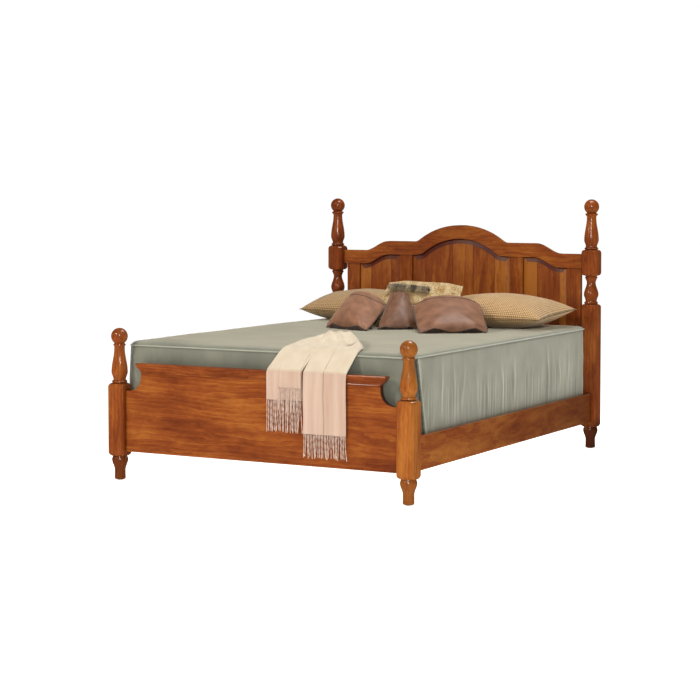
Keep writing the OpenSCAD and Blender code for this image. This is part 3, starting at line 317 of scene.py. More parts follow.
# The box spring and the mattress are blocks in striped ticking with rounded corners and a tape edge, a
# folded binding machine-sewn round the top and bottom. The mattress is quilted and a little crowned: its
# top is inset in steps, each raised by a share of the crown.
def block_outline(low, high, radius, out=0.0, per_arc=6):
    """Points round a rounded rectangle grown by out, anticlockwise from the right side's head end."""
    points = []
    reach = radius + out
    for corner, (sx, sy) in enumerate(((1, 1), (-1, 1), (-1, -1), (1, -1))):
        cx = (high.x - radius) if sx > 0 else (low.x + radius)
        cy = (high.y - radius) if sy > 0 else (low.y + radius)
        for step in range(per_arc + 1):
            turn = math.radians(90 * (corner + step / per_arc))
            points.append(Vector((cx + reach * math.cos(turn), cy + reach * math.sin(turn))))
    return points


def corded(name, path, radius, material, closed=True):
    """A round cord or binding along a path of points."""
    curve = bpy.data.curves.new(name, "CURVE")
    curve.dimensions = "3D"
    curve.bevel_depth = radius
    curve.bevel_resolution = 2
    curve.use_fill_caps = not closed
    line = curve.splines.new("POLY")
    line.points.add(len(path) - 1)
    for point, spot in zip(line.points, path):
        point.co = (*spot, 1)
    line.use_cyclic_u = closed
    curve.materials.append(material)
    cord = bpy.data.objects.new(name, curve)
    scene.collection.objects.link(cord)
    return cord


def ticking(name, pad):
    """Cotton ticking with a stripe each 90 mm, and quilted pads as wide as pad, in metres."""
    cloth, shader = finish_of(name, Roughness=0.7, Sheen_Weight=0.2)
    place = add(cloth, "TexCoord").outputs["Object"]
    flat = add(cloth, "SeparateXYZ", {"Vector": place})
    run = add(cloth, "Math", {0: flat.outputs["X"], 1: flat.outputs["Y"]}, operation="ADD")
    stripe = add(cloth, "Math", {0: run, 1: 0.045}, operation="PINGPONG")
    stripe = add(cloth, "MapRange", {"Value": stripe, "From Min": 0.036, "From Max": 0.037})
    weave = add(cloth, "TexNoise", {"Vector": place, "Scale": 900.0, "Detail": 2.0})
    colour = add(cloth, "Mix", {0: stripe, 6: "#E9E4D6", 7: "#A9AFB4"}, data_type="RGBA").outputs[2]
    threads = add(cloth, "ValToRGB", {"Fac": weave}, stops=[(0.3, "#B8B2A4"), (0.7, "#FFFFFF")])
    colour = add(cloth, "Mix", {0: 0.25, 6: colour, 7: threads},
                 data_type="RGBA", blend_type="MULTIPLY").outputs[2]
    pads = add(cloth, "TexVoronoi", {"Vector": place, "Scale": 1 / pad}, feature="SMOOTH_F1")
    bump = add(cloth, "Bump", {"Height": pads, "Strength": 0.5, "Distance": 0.01})
    bump = add(cloth, "Bump", {"Height": weave, "Strength": 0.3, "Distance": 0.0004, "Normal": bump})
    feed(shader, {"Base Color": colour, "Normal": bump})
    return cloth


def spun(name, per_metre, low, high, detail=2.0, **values):
    """Yarn, cord or tape, mottled by so many threads to the metre between two stops of colour."""
    yarn, shader = finish_of(name, **values)
    place = add(yarn, "TexCoord").outputs["Object"]
    thread = add(yarn, "TexNoise", {"Vector": place, "Scale": per_metre, "Detail": detail})
    colour = add(yarn, "ValToRGB", {"Fac": thread}, stops=[low, high])
    feed(shader, {"Base Color": colour})
    return yarn


tape = spun("tape_binding", 600.0, (0.3, "#8E959B"), (0.7, "#B9BEC2"), Roughness=0.6)
tape_radius, tape_inset, tape_level = 0.003, 0.0035, 0.007
box_spring_pad, mattress_pad = 1 / 3, 1 / 9
block_radius, play, tall = 0.034, 0.004, 0.1
for node, body, crown, pad in (("box_spring", "foundation", 0, box_spring_pad),
                               ("mattress", "bedding", 0.015, mattress_pad)):
    low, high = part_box(node)
    bm = bmesh.new()
    bmesh.ops.create_cube(bm, size=1)
    bmesh.ops.scale(bm, vec=high - low - Vector((play, play, crown)), verts=bm.verts)
    bmesh.ops.translate(bm, vec=(low + high) / 2 - Vector((0, 0, crown / 2)), verts=bm.verts)
    upright = [edge for edge in bm.edges if abs(edge.verts[0].co.z - edge.verts[1].co.z) > tall]
    bmesh.ops.bevel(bm, geom=upright, offset=block_radius, segments=8, profile=0.5, affect="EDGES",
                    material=-1)
    flat = [face for face in bm.faces if abs(face.normal.z) > 0.9]
    for depth, rise in ((0.010, 0.5), (0.010, 0.3), (0.008, 0.2)):
        bmesh.ops.inset_region(bm, faces=flat, thickness=depth, use_even_offset=True)
        for vert in max(flat, key=lambda face: face.calc_center_median().z).verts:
            vert.co.z += crown * rise
    piece = mesh_piece(node + "_block", bm, ticking(node + "_ticking", pad))
    for edge, level in (("low", low.z + tape_level), ("high", high.z - crown - tape_level)):
        ring = [(*spot, level) for spot in block_outline(low, high, block_radius, -tape_inset)]
        cord = corded(f"{node}_tape_{edge}", ring, tape_radius, tape)
        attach(cord, body)
    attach(piece, body)
    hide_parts(node)

# The coverlet is tailored of brushed sage cotton: a top panel cut to the mattress, and one long drop sewn
# round its foot and sides with a covered cord in the seam. The drop hangs in shallow, uneven folds, is
# tucked between the mattress and the rails, and is slit at the foot corners, where painted shade darkens
# the turned-in cloth; a softer painted shadow runs along the drop just under the seam.
# Its nap is brushed in patches 77 by 310 mm, and its weave is drawn 1.3 mm wide.
sage, shader = finish_of("brushed_sage_cotton", Roughness=0.85, Specular_IOR_Level=0.2, Sheen_Weight=0.9,
                         Sheen_Roughness=0.45, Sheen_Tint="#ECE6D0")
cut = add(sage, "UVMap", uv_map="cloth")
nap = add(sage, "Mapping", {"Vector": cut, "Scale": (13, 3.2, 1)})
nap = add(sage, "TexNoise", {"Vector": nap, "Scale": 1.0, "Detail": 5.0, "Roughness": 0.6})
cloud = add(sage, "TexNoise", {"Vector": cut, "Scale": 5.0, "Detail": 3.0})
uneven_tone = add(sage, "Math", {0: nap, 1: 0.4, 2: cloud}, operation="MULTIPLY_ADD")
colour = add(sage, "ValToRGB", {"Fac": uneven_tone}, stops=[(0.4, "#6C7066"), (1.0, "#8E9083"), (0.7, "#7D8175")])
# Painted shade: mixes the cloth toward a dark green-grey in the foot corners' slits and in a band under the
# seam.
painted_shade = add(sage, "Attribute", attribute_name="painted_shade").outputs["Fac"]
colour = add(sage, "Mix", {0: painted_shade, 6: colour, 7: "#2B302A"}, data_type="RGBA").outputs[2]
weave = add(sage, "TexNoise", {"Vector": cut, "Scale": 800.0, "Detail": 3.0})
bump = add(sage, "Bump", {"Height": nap, "Strength": 0.3, "Distance": 0.003})
bump = add(sage, "Bump", {"Height": weave, "Strength": 0.25, "Distance": 0.0004, "Normal": bump})
feed(shader, {"Base Color": colour, "Normal": bump})
# Painted highlight: the covered cord is coloured lighter than the cloth, as where light falls on it from
# above.
sage_cord = spun("sage_covered_cord", 300.0, (0.3, "#8F9383"), (0.7, "#B9BCA9"), detail=3.0, Roughness=0.8,
                 Sheen_Weight=0.5)

low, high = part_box("mattress")
seam_level, hem_level = 0.645, 0.2035
crown_height, crown_lip, crown_shoulder = 0.0183, 0.006, 0.024
cloth_out, cloth_thickness, welt_radius, seam_play = 0.0034, 0.0024, 0.0034, 0.001
puff, puff_inset, puff_width, puff_fade = 0.013, 0.12, 0.16, 0.7
swells, rumples, settled = 0.0022, 0.0009, 0.0012


def crown(inset):
    """Rise of the coverlet's top above its seam, at a distance in from the seam."""
    return crown_height * (1 - 0.55 * math.exp(-inset / crown_lip) - 0.45 * math.exp(-inset / crown_shoulder))


bm = bmesh.new()
cloth_uv = bm.loops.layers.uv.new("cloth")
shade_layer = bm.verts.layers.float.new("painted_shade")
bmesh.ops.create_grid(bm, x_segments=100, y_segments=120, size=1)
crowding = 1.35
reach = Vector(((high.x - low.x) / 2 + cloth_out, (high.y - low.y) / 2 + cloth_out))
middle = Vector(((low.x + high.x) / 2, (low.y + high.y) / 2))
round_off = block_radius + cloth_out
for vert in bm.verts:
    u, v = (math.copysign(1 - (1 - abs(c)) ** crowding, c) for c in (vert.co.x, vert.co.y))
    spot = Vector((u * reach.x, v * reach.y))
    core = Vector((max(-reach.x + round_off, min(reach.x - round_off, spot.x)),
                   max(-reach.y + round_off, min(reach.y - round_off, spot.y))))
    over = spot - core
    if over.length > 0:
        over = over * (max(abs(over.x), abs(over.y)) / over.length)
    spot = core + over
    edge = min(reach.x - abs(spot.x), reach.y - abs(spot.y))
    inset = round_off - over.length if over.length > 0 and edge < round_off else edge
    swell = noise.noise(Vector((spot.x * 2.1, spot.y * 3.4, 4))) * swells
    swell += noise.noise(Vector((spot.x * 7, spot.y * 15, 9))) * rumples
    calm = min(1, max(0, inset) / 0.12)
    puffed = math.exp(-((reach.x + spot.x - puff_inset) / puff_width) ** 2)
    swell += puff * puffed * min(1, (reach.y - spot.y) / puff_fade)
    level = seam_level + crown(max(0, inset)) + (swell - settled) * calm ** 0.5
    vert.co = (middle.x + spot.x, middle.y + spot.y, level)
top_faces = set(bm.faces)
bmesh.ops.create_grid(bm, x_segments=1000, y_segments=30, size=1)
arc_n = 12
outline = block_outline(low, high, block_radius, per_arc=arc_n)
foot_corners = outline[2 * (arc_n + 1):]
head_end = high.y - block_radius
path = [Vector((low.x, head_end)), *foot_corners, Vector((high.x, head_end))]
lengths = [0.0]
for one, two in zip(path, path[1:]):
    lengths.append(lengths[-1] + (two - one).length)
seam_length = lengths[-1]


def along_seam(distance):
    """The point and outward direction at a distance along the seam, from the left side's head end."""
    i = max(j for j in range(len(lengths) - 1) if lengths[j] <= distance + 1e-9)
    ahead = (path[i + 1] - path[i]).normalized()
    return path[i] + ahead * (distance - lengths[i]), Vector((ahead.y, -ahead.x))


# The drop's creases, each with its place along the seam, lean, start, end, strength and seed.
dice = random.Random(21)
crease_reach, sharp_side, soft_side = 0.11, 0.013, 0.021
creases = []
where = 0.0
while where < seam_length:
    creases.append((where, dice.uniform(-0.25, 0.3), dice.uniform(-0.2, 0.25), dice.uniform(0.7, 1.3),
                    dice.uniform(0.2, 0.85), dice.uniform(0, 100)))
    where += dice.uniform(0.045, 0.19)


def creased(s, t):
    """Height of the drop's creases, from 0 to about 1, at a distance s along the seam and a share t of the
    way down. A crease leans and wanders, fades in and out, and is sharper on one side than the other."""
    total = 0.0
    for place, lean, begin, finish, strength, seed in creases:
        if abs(s - place) < crease_reach:
            line = place + lean * 0.26 * t + 0.03 * noise.noise(Vector((t * 2.6, seed, 0)))
            fade = min(1, max(0, (t - begin) / 0.25)) * min(1, max(0, (finish - t) / 0.3))
            gap = (s - line) / (sharp_side if s > line else soft_side)
            total += strength * fade * math.exp(-gap * gap)
    return min(1.3, total)


# Each point of the drop is swung out by its folds: less near the seam, where the rail tucks it in, and
# behind a post. At the foot corners it turns in at the slit, which slants back, and there it is painted dark
# as shade.
half_swing, swing_max, fuller_left = 0.0052, 0.0118, 0.008
tuck_level, tuck_height, tucked_in = 0.36, 0.09, 0.62
slit_from, slit_slant, slit_lip = -0.974, 0.10, 0.0105
for vert in [v for v in bm.verts if not any(face in top_faces for face in v.link_faces)]:
    s, t = (vert.co.x + 1) / 2 * seam_length, (1 - vert.co.y) / 2
    spot, out = along_seam(s)
    fold = noise.noise(Vector((s * 6.0 + t * 0.5, t * 0.8, 1.5))) * 0.8 + 0.95 * creased(s, t) - 0.48
    fold += noise.noise(Vector((s * 48, t * 2, 8))) * min(1, max(0, (t - 0.3) / 0.2)) * 0.5
    level = seam_level - seam_play - t * (seam_level - hem_level)
    free = min(1, t / 0.35) * (1 - tucked_in * min(1, max(0, (tuck_level - level) / tuck_height)))
    post = min(1, abs((abs(spot.x) + 1.0 - max(0, -spot.y)) - 0.75) / 0.06) if spot.y < -0.9 else 1
    swing = (half_swing + half_swing * fold) * free * (0.45 if post < 0.3 else 1)
    swing = max(0.0, min(swing_max, swing))
    past = spot.y - (slit_from + slit_slant * t)
    # Inside the slit the cloth is painted dark as shade.
    if abs(spot.x) > 0.75 and spot.y < -0.8:
        vert[shade_layer] = 1.0 if past < 0 else 0.0
        swing = 0.0005 if past < 0 else max(swing, slit_lip * math.exp(-past / 0.02))
    if spot.x < -0.6 and spot.y < 0.8:
        swing += fuller_left * free
    # The top row of the drop is painted partly dark, as the shadow under the seam.
    if t == 0:
        vert[shade_layer] = 0.4
    spot = spot + out * (cloth_out + swing)
    vert.co = (spot.x, spot.y, level)
for face in bm.faces:
    for corner in face.loops:
        at = corner.vert.co
        if face in top_faces:
            corner[cloth_uv].uv = (at.y, at.x)
        else:
            corner[cloth_uv].uv = (at.x + at.y, at.z + 3)
bmesh.ops.recalc_face_normals(bm, faces=bm.faces)
coverlet = mesh_piece("coverlet_cloth", bm, sage)
wall = coverlet.modifiers.new("cloth", "SOLIDIFY")
wall.thickness = cloth_thickness
wall.offset = -1
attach(coverlet, "bedding")
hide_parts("coverlet")
welt_out = block_outline(low, high, block_radius, cloth_out + seam_play, per_arc=arc_n)
welt = corded("coverlet_cord", [(*spot, seam_level) for spot in welt_out], welt_radius, sage_cord)
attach(welt, "bedding")
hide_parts("coverlet_welt")


# The pillows are cases sewn of two flat panels and stuffed. Each kind is blown up from its flat panels by
# a cloth simulation, which draws the sides in and puckers the seams, and is then laid where it belongs.
def case_of(name, width, length, cell, pressure, frames):
    """A stuffed case cut width by length, in cells of that size: its mesh, lying flat, with its cloth's
    own UV in metres. cut_to keeps where each point was in the flat case, and on which side."""
    first_swell = 0.11
    bm = bmesh.new()
    bmesh.ops.create_grid(bm, x_segments=round(width / cell), y_segments=round(length / cell), size=0.5)
    bmesh.ops.scale(bm, vec=(width, length, 1), verts=bm.verts)
    upper = list(bm.verts)
    copy = bmesh.ops.duplicate(bm, geom=list(bm.verts) + list(bm.edges) + list(bm.faces))["geom"]
    bmesh.ops.reverse_faces(bm, faces=[part for part in copy if isinstance(part, bmesh.types.BMFace)])
    cloth_uv = bm.loops.layers.uv.new("cloth")
    for face in bm.faces:
        for corner in face.loops:
            corner[cloth_uv].uv = corner.vert.co.xy
    for verts, way in ((upper, 1), ([part for part in copy if isinstance(part, bmesh.types.BMVert)], -1)):
        for vert in verts:
            crowned = (1 - (2 * vert.co.x / width) ** 2) * (1 - (2 * vert.co.y / length) ** 2)
            vert.co.z = way * first_swell * width * max(0, crowned) ** 0.5
    bmesh.ops.remove_doubles(bm, verts=bm.verts, dist=1e-5)
    cut_to = bm.verts.layers.float_vector.new("cut_to")
    for vert in bm.verts:
        vert[cut_to] = (2 * vert.co.x / width, 2 * vert.co.y / length, vert.co.z)
    case = mesh_piece(name, bm)
    cloth = case.modifiers.new("cloth", "CLOTH")
    cloth.settings.quality = 6
    cloth.settings.mass = 0.02
    cloth.settings.tension_stiffness = cloth.settings.compression_stiffness = 15
    cloth.settings.bending_stiffness = 0.2
    cloth.settings.use_pressure = True
    cloth.settings.uniform_pressure_force = pressure
    cloth.settings.effector_weights.gravity = 0
    cloth.collision_settings.use_collision = False
    cloth.point_cache.frame_end = frames
    for step in range(1, frames + 1):
        scene.frame_set(step)
    stuffed = bpy.data.meshes.new_from_object(case.evaluated_get(bpy.context.evaluated_depsgraph_get()))
    case.modifiers.clear()
    case.data = stuffed
    scene.frame_set(1)
    stuffed = case.data
    bpy.data.objects.remove(case)
    return stuffed


def laid(name, case, corners, front, back, fold=(1, 1), fullness=0.36, kept=0.6, slump=0, roll=0.0):
    """A pillow from a case, and the line of its seam. Its corners, front left first, are measured from the
    headboard's face and the bed's top, and front and back are its depths, all in millimetres. fold turns
    the case over in either direction, and the less its fullness, the squarer its crown. It keeps a share
    of its flat shape. Its top edge rises by slump in the middle, where its back rolls forward and brings
    the seam down by a share, roll."""
    a, b, c, d = [np.array(p) / 1000 + np.array((0, headboard_face, bed_top)) for p in corners]
    mesh = case.copy()
    at = np.zeros(len(mesh.vertices) * 3)
    mesh.vertices.foreach_get("co", at)
    at = at.reshape(-1, 3)
    at /= np.abs(at).max(0)
    cut_to = np.zeros(len(mesh.vertices) * 3)
    mesh.attributes["cut_to"].data.foreach_get("vector", cut_to)
    cut_to = cut_to.reshape(-1, 3)
    at[:, :2] = (1 - kept) * at[:, :2] + kept * cut_to[:, :2]
    u, v, w = at[:, 0] * fold[0], at[:, 1] * fold[1], at[:, 2] * fold[0] * fold[1]
    full = np.maximum(0, (1 - u * u) * (1 - v * v)) ** fullness
    depth = np.where(w > 0, front, back) / 1000
    lift = np.clip(w, -full - 0.02, full + 0.02) * depth
    facing = np.cross(c - a, d - b)
    facing /= np.linalg.norm(facing)
    spot = (np.outer((1 - u) * (1 - v), a) + np.outer((1 + u) * (1 - v), b) + np.outer((1 + u) * (1 + v), c)
            + np.outer((1 - u) * (1 + v), d)) / 4 + np.outer(lift, facing)
    rise = (c + d - a - b) / np.linalg.norm(c + d - a - b)
    spot += np.outer(slump / 1000 * (1 - u * u) * ((1 + v) / 2) ** 2, rise)
    spot[:, 2] = np.maximum(spot[:, 2], bed_top + 0.0005)
    mesh.vertices.foreach_set("co", spot.ravel())
    if fold[0] * fold[1] < 0:
        mesh.flip_normals()
    mesh.update()
    mesh.shade_smooth()
    pillow = bpy.data.objects.new(name, mesh)
    scene.collection.objects.link(pillow)
    smooth = pillow.modifiers.new("smooth", "SUBSURF")
    smooth.levels = smooth.render_levels = 1
    over, up = cut_to[:, 0] * fold[0], cut_to[:, 1] * fold[1]
    rim = np.where(np.maximum(np.abs(over), np.abs(up)) > 0.999)[0]
    rim = rim[np.argsort(np.arctan2(up[rim], over[rim]))]
    seam = []
    for i in rim:
        place = spot[i]
        if roll and up[i] > 0.999:
            column = np.where((np.abs(over - over[i]) < 1e-4) & (cut_to[:, 2] * fold[0] * fold[1] >= 0))[0]
            column = column[np.argsort(up[column])]
            height = 1 - roll * (1 - abs(over[i]) ** 3)
            place = [np.interp(height, up[column], spot[column, axis]) for axis in range(3)]
        seam.append(tuple(place))
    return pillow, seam


bed_top = 0.6633
headboard_face = 1.05925

# Brown satin: three pillows about 16 inches square, of a smooth satin weave with a soft sheen, its face
# threads lying one way, with a dark line of cord sewn into each seam. Each pillow has its own copy of the
# cloth, painted lighter or darker as it lies to the lamps. The face threads are drawn 1 mm wide.
satin, shader = finish_of("brown_satin_cloth", Roughness=0.5, Specular_IOR_Level=0.3, Sheen_Weight=0.5,
                          Sheen_Roughness=0.35, Sheen_Tint="#E0B79A")
weft = add(satin, "UVMap", uv_map="cloth")
slub = add(satin, "Mapping", {"Vector": weft, "Scale": (60, 900, 1)})
slub = add(satin, "TexNoise", {"Vector": slub, "Scale": 1.0, "Detail": 3.0})
cloud = add(satin, "TexNoise", {"Vector": weft, "Scale": 14.0, "Detail": 3.0})
nap = add(satin, "Math", {0: slub, 1: 0.45, 2: cloud}, operation="MULTIPLY_ADD")
colour = add(satin, "ValToRGB", {"Fac": nap}, stops=[
    (0.45, "#6A4936"), (0.95, "#92684F"), (0.7, "#7F5A45")])
shade = add(satin, "HueSaturation", {"Color": colour})
shade.name = "shade"
bump = add(satin, "Bump", {"Height": slub, "Strength": 0.15, "Distance": 0.0003})
feed(shader, {"Base Color": shade, "Normal": bump})
braid = spun("dark_satin_cord", 320.0, (0.35, "#2A1811"), (0.7, "#5A3B2B"), Roughness=0.5, Sheen_Weight=0.3)
small_case = case_of("small_case", 0.40, 0.42, 0.0065, 5, 30)
for name, corners, share, fold, slump, roll, light in (
        ("satin_left", [[-372, -855, 4], [-52, -981, 4], [-122, -629, 114], [-407, -519, 155]], 1, (1, 1),
         40, 0.5, 1.3),
        ("satin_middle", [[-62, -852, 2.6], [118, -740, 2.6], [-5, -612, 176], [-107, -612, 176]], 0.62,
         (-1, 1), 2, 0.08, 0.84),
        ("satin_right", [[247, -985, 4], [540, -785, 4], [380, -540, 131], [79, -729, 129]], 1, (1, -1),
         50, 0.4, 1.14)):
    pillow, seam = laid(name + "_pillow", small_case, corners, 64 * share, 64 * share, fold, slump=slump,
                        roll=roll)
    # Painted light and shade: the copy's shade node lightens or darkens the cloth by the pillow's light
    # value.
    cloth = satin.copy()
    cloth.name = name + "_cloth"
    cloth.node_tree.nodes["shade"].inputs["Value"].default_value = light
    pillow.data.materials.append(cloth)
    piping = corded(name + "_cord", seam, 0.0023, braid)
    for piece in (pillow, piping):
        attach(piece, name + "_body")
    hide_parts(name)

# Shams: two large pillows in a gold and olive check woven of threads a millimetre thick, in blocks drawn
# here 8 mm wide so that they show, set on the bias, with a thin brown cord in the seam.
check, shader = finish_of("gold_check_cloth", Roughness=0.75, Sheen_Weight=0.25)
weave = add(check, "UVMap", uv_map="cloth")
on_the_bias = 0.785
block = add(check, "Mapping", {"Vector": weave, "Rotation": (0, 0, on_the_bias)})
block = add(check, "TexChecker", {"Vector": block, "Scale": 120.0}).outputs["Fac"]
thread = add(check, "TexNoise", {"Vector": weave, "Scale": 700.0, "Detail": 2.0})
cloud = add(check, "TexNoise", {"Vector": weave, "Scale": 9.0, "Detail": 3.0})
shade = add(check, "Mix", {0: block, 6: "#DDB980", 7: "#8A7340"}, data_type="RGBA").outputs[2]
uneven_tone = add(check, "ValToRGB", {"Fac": cloud}, stops=[(0.3, "#6E6E6E"), (0.7, "#A0A0A0")])
shade = add(check, "Mix", {0: 0.35, 6: shade, 7: uneven_tone}, data_type="RGBA", blend_type="OVERLAY").outputs[2]
shade = add(check, "HueSaturation", {"Color": shade})
shade.name = "shade"
bump = add(check, "Bump", {"Height": thread, "Strength": 0.3, "Distance": 0.0005})
bump = add(check, "Bump", {"Height": block, "Strength": 0.25, "Distance": 0.0005, "Normal": bump})
feed(shader, {"Base Color": shade, "Normal": bump})
gold_cord = spun("gold_seam_cord", 260.0, (0.35, "#4C3A20"), (0.7, "#8A7044"), Roughness=0.7,
                 Sheen_Weight=0.2)
large_case = case_of("large_case", 0.74, 0.50, 0.0095, 5, 30)
for name, corners, fold, light in (
        ("sham_left", [[-748, -479, 65], [-48, -556, 56], [-45, -115, 88], [-745, -99, 86]], (1, 1), 0.8),
        ("sham_right", [[50, -556, 54], [722, -559, 58], [749, -125, 90], [45, -115, 90]], (-1, 1), 1.0)):
    pillow, seam = laid(name + "_pillow", large_case, corners, 101, 83, fold, fullness=0.31)
    # Painted shade: the left sham's copy of the check is darkened by its light value, as it lies away from
    # the key lamp.
    cloth = check.copy()
    cloth.name = name + "_cloth"
    cloth.node_tree.nodes["shade"].inputs["Value"].default_value = light
    pillow.data.materials.append(cloth)
    piping = corded(name + "_cord", seam, 0.0022, gold_cord)
    for piece in (pillow, piping):
        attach(piece, name + "_body")
    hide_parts(name)

# The printed pillow: cream and gold cotton with dark olive spots drawn 8 mm apart, thinner and softer than
# the rest, standing against the shams.
spots, shader = finish_of("printed_cotton", Roughness=0.8, Sheen_Weight=0.15)
cotton = add(spots, "UVMap", uv_map="cloth")
wobble = add(spots, "TexNoise", {"Vector": cotton, "Scale": 60.0, "Detail": 1.0}).outputs["Color"]
wobble = add(spots, "VectorMath", {0: wobble, 1: (0.012, 0.012, 0), 2: cotton}, operation="MULTIPLY_ADD")
cell = add(spots, "TexVoronoi", {"Vector": wobble, "Scale": 120.0})
spot = add(spots, "MapRange", {"Value": cell, "From Min": 0.24, "From Max": 0.4,
           "To Min": 1.0, "To Max": 0.0})
patchy = add(spots, "TexNoise", {"Vector": cotton, "Scale": 16.0, "Detail": 3.0})
ground = add(spots, "ValToRGB", {"Fac": patchy}, stops=[(0.38, "#C9B183"), (0.66, "#A57F42")])
ground = add(spots, "Mix", {0: spot, 6: ground, 7: "#43351A"}, data_type="RGBA").outputs[2]
thread = add(spots, "TexNoise", {"Vector": cotton, "Scale": 900.0, "Detail": 2.0})
bump = add(spots, "Bump", {"Height": thread, "Strength": 0.25, "Distance": 0.0003})
feed(shader, {"Base Color": ground, "Normal": bump})
long_case = case_of("long_case", 0.53, 0.32, 0.0075, 4, 26)
print_corners = [[-215, -668, 1], [275, -668, 1], [266, -478, 224], [-186, -478, 236]]
pillow, seam = laid("print_pillow_case", long_case, print_corners, 39, 39, kept=0.85)
pillow.data.materials.append(spots)
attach(pillow, "print_pillow_body")
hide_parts("print_pillow")

# The grey fur band lies over the printed pillow's shoulder: a tube of knitted pile as thick as a thumb,
# with hairs 12 to 26 mm long that stand out of it, mottled cream, grey and black along its length.
dice = random.Random(4)
hair_n, link_n, hair_root, hair_middle = 3400, 12, 0.0009, 0.0007
base = np.array((0, headboard_face, bed_top))
front_left, front_right, back_right, back_left = [np.array(p) / 1000 + base for p in print_corners]
outward = Vector(np.cross(back_right - front_left, back_left - front_right)).normalized()
band = []
for step in range(link_n + 1):
    u, v = -0.84 + 1.08 * step / link_n, 0.60 - 0.13 * step / link_n
    spot = ((1 - u) * (1 - v) * front_left + (1 + u) * (1 - v) * front_right
            + (1 + u) * (1 + v) * back_right + (1 - u) * (1 + v) * back_left) / 4
    swell = 0.039 * ((1 - u * u) * (1 - v * v)) ** 0.38
    band.append(Vector(spot) + outward * (swell + 0.009))
fur, shader = finish_of("long_pile_fur", Roughness=0.6, Sheen_Weight=0.3)
hue = add(fur, "Attribute", attribute_name="hair")
feed(shader, {"Base Color": hue})
bm = bmesh.new()
hair_tint = bm.verts.layers.float_color.new("hair")
axis = band[-1] - band[0]
across = outward.cross(axis).normalized()
for _ in range(hair_n):
    t, turn = dice.random(), dice.uniform(-2.3, 2.3)
    radial = outward * math.cos(turn) + across * math.sin(turn)
    link = min(link_n - 1, int(t * link_n))
    root = band[link].lerp(band[link + 1], t * link_n - link) + radial * 0.007
    way = radial + axis.normalized() * dice.gauss(0.1, 0.35) + Vector((0, 0, dice.gauss(-0.1, 0.3)))
    way.normalize()
    length = dice.uniform(0.012, 0.026) * (0.5 if math.cos(turn) < 0 else 1)
    side = way.cross(radial + Vector((0.01, 0.3, 0.2))).normalized()
    other = way.cross(side)
    mottle = noise.noise(Vector((t * 7, 0, 3))) + dice.gauss(0, 0.34) + 0.25 * abs(turn) - 0.22
    hex_tone = "#E6D3AC" if mottle > 0.0 else "#A08D72" if mottle > -0.26 else "#4C443A"
    tone = Vector(linear(hex_tone)) * dice.uniform(0.8, 1.15)
    tip = root + way * length + Vector((0, 0, -0.002 - 0.25 * length))
    middle_of = root + way * length * 0.6
    rings = [[centre + (side * math.cos(a) + other * math.sin(a)) * width for a in (0, 2.09, 4.19)]
             for centre, width in ((root, hair_root), (middle_of, hair_middle))]
    made = [[bm.verts.new(spot) for spot in ring] for ring in rings]
    point = bm.verts.new(tip)
    for vert in made[0] + made[1] + [point]:
        vert[hair_tint] = tone
    for a in range(3):
        b = (a + 1) % 3
        bm.faces.new((made[0][a], made[0][b], made[1][b], made[1][a]))
        bm.faces.new((made[1][a], made[1][b], point))
bmesh.ops.recalc_face_normals(bm, faces=bm.faces)
pile = mesh_piece("fur_pile", bm, fur)
core_cloth = spun("fur_backing", 120.0, (0.35, "#2E2924"), (0.65, "#6E665A"), detail=3.0, Roughness=0.9)
core = corded("fur_core", [tuple(spot) for spot in band], 0.008, core_cloth, closed=False)
for piece in (pile, core):
    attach(piece, "print_pillow_body")
    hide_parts("pillow_tie")

# The throw is a scarf of soft wool, folded over the footboard so that two ends hang down, which are turned
# in and knotted into tassels. Its colour is painted with light and shade: lighter and cream where it is
# heaped on the bed, as lit from above, and darker and pinker at its hanging ends, as shaded and lit by the
# wood, with painted fold shading in streaks along them. Its twill lines are 2.4 mm apart, under a fuzz as
# wide.
wool, shader = finish_of("cream_wool", Roughness=0.85, Sheen_Weight=0.6, Sheen_Roughness=0.5,
                         Sheen_Tint="#FFF2DD")
cut = add(wool, "UVMap", uv_map="cloth")
twill_line = 0.0024
twill = add(wool, "Mapping", {"Vector": cut, "Rotation": (0, 0, on_the_bias)})
twill = add(wool, "TexWave", {"Vector": twill, "Scale": wave_at_one_metre / twill_line,
            "Distortion": 1.5, "Detail": 2.0}, wave_type="BANDS").outputs["Fac"]
fuzz = add(wool, "TexNoise", {"Vector": cut, "Scale": 420.0, "Detail": 4.0})
cloud = add(wool, "TexNoise", {"Vector": cut, "Scale": 11.0, "Detail": 3.0})
# Painted fold shading: long streaks, lighter and darker, along the hanging ends.
uneven_tone = add(wool, "Mapping", {"Vector": cut, "Scale": (26, 1.3, 1)})
uneven_tone = add(wool, "TexNoise", {"Vector": uneven_tone, "Scale": 1.0, "Detail": 3.0})
# Painted light and shade: the tone attribute's red mixes in the lighter lying colour on the bed, its green a
# dark brown as shade in the openings.
tone = add(wool, "Attribute", attribute_name="tone")
tone = add(wool, "SeparateColor", {"Color": tone})
hanging = add(wool, "ValToRGB", {"Fac": uneven_tone}, stops=[(0.35, "#BD9F8C"), (0.65, "#CEB5A4")])
lying = add(wool, "ValToRGB", {"Fac": cloud}, stops=[(0.3, "#DACBB3"), (0.75, "#E8DDC8")])
felted = add(wool, "ValToRGB", {"Fac": fuzz}, stops=[(0.3, "#C9B79E"), (0.65, "#FFFFFF")])
colour = hanging
for share, over, blend in ((tone.outputs["Red"], lying, "MIX"),
                           (tone.outputs["Green"], "#5E3C2E", "MIX"),
                           (0.3, felted, "MULTIPLY")):
    colour = add(wool, "Mix", {0: share, 6: colour, 7: over}, data_type="RGBA", blend_type=blend).outputs[2]
bump = add(wool, "Bump", {"Height": twill, "Strength": 0.3, "Distance": 0.0005})
bump = add(wool, "Bump", {"Height": fuzz, "Strength": 0.4, "Distance": 0.0006, "Normal": bump})
feed(shader, {"Base Color": colour, "Normal": bump})

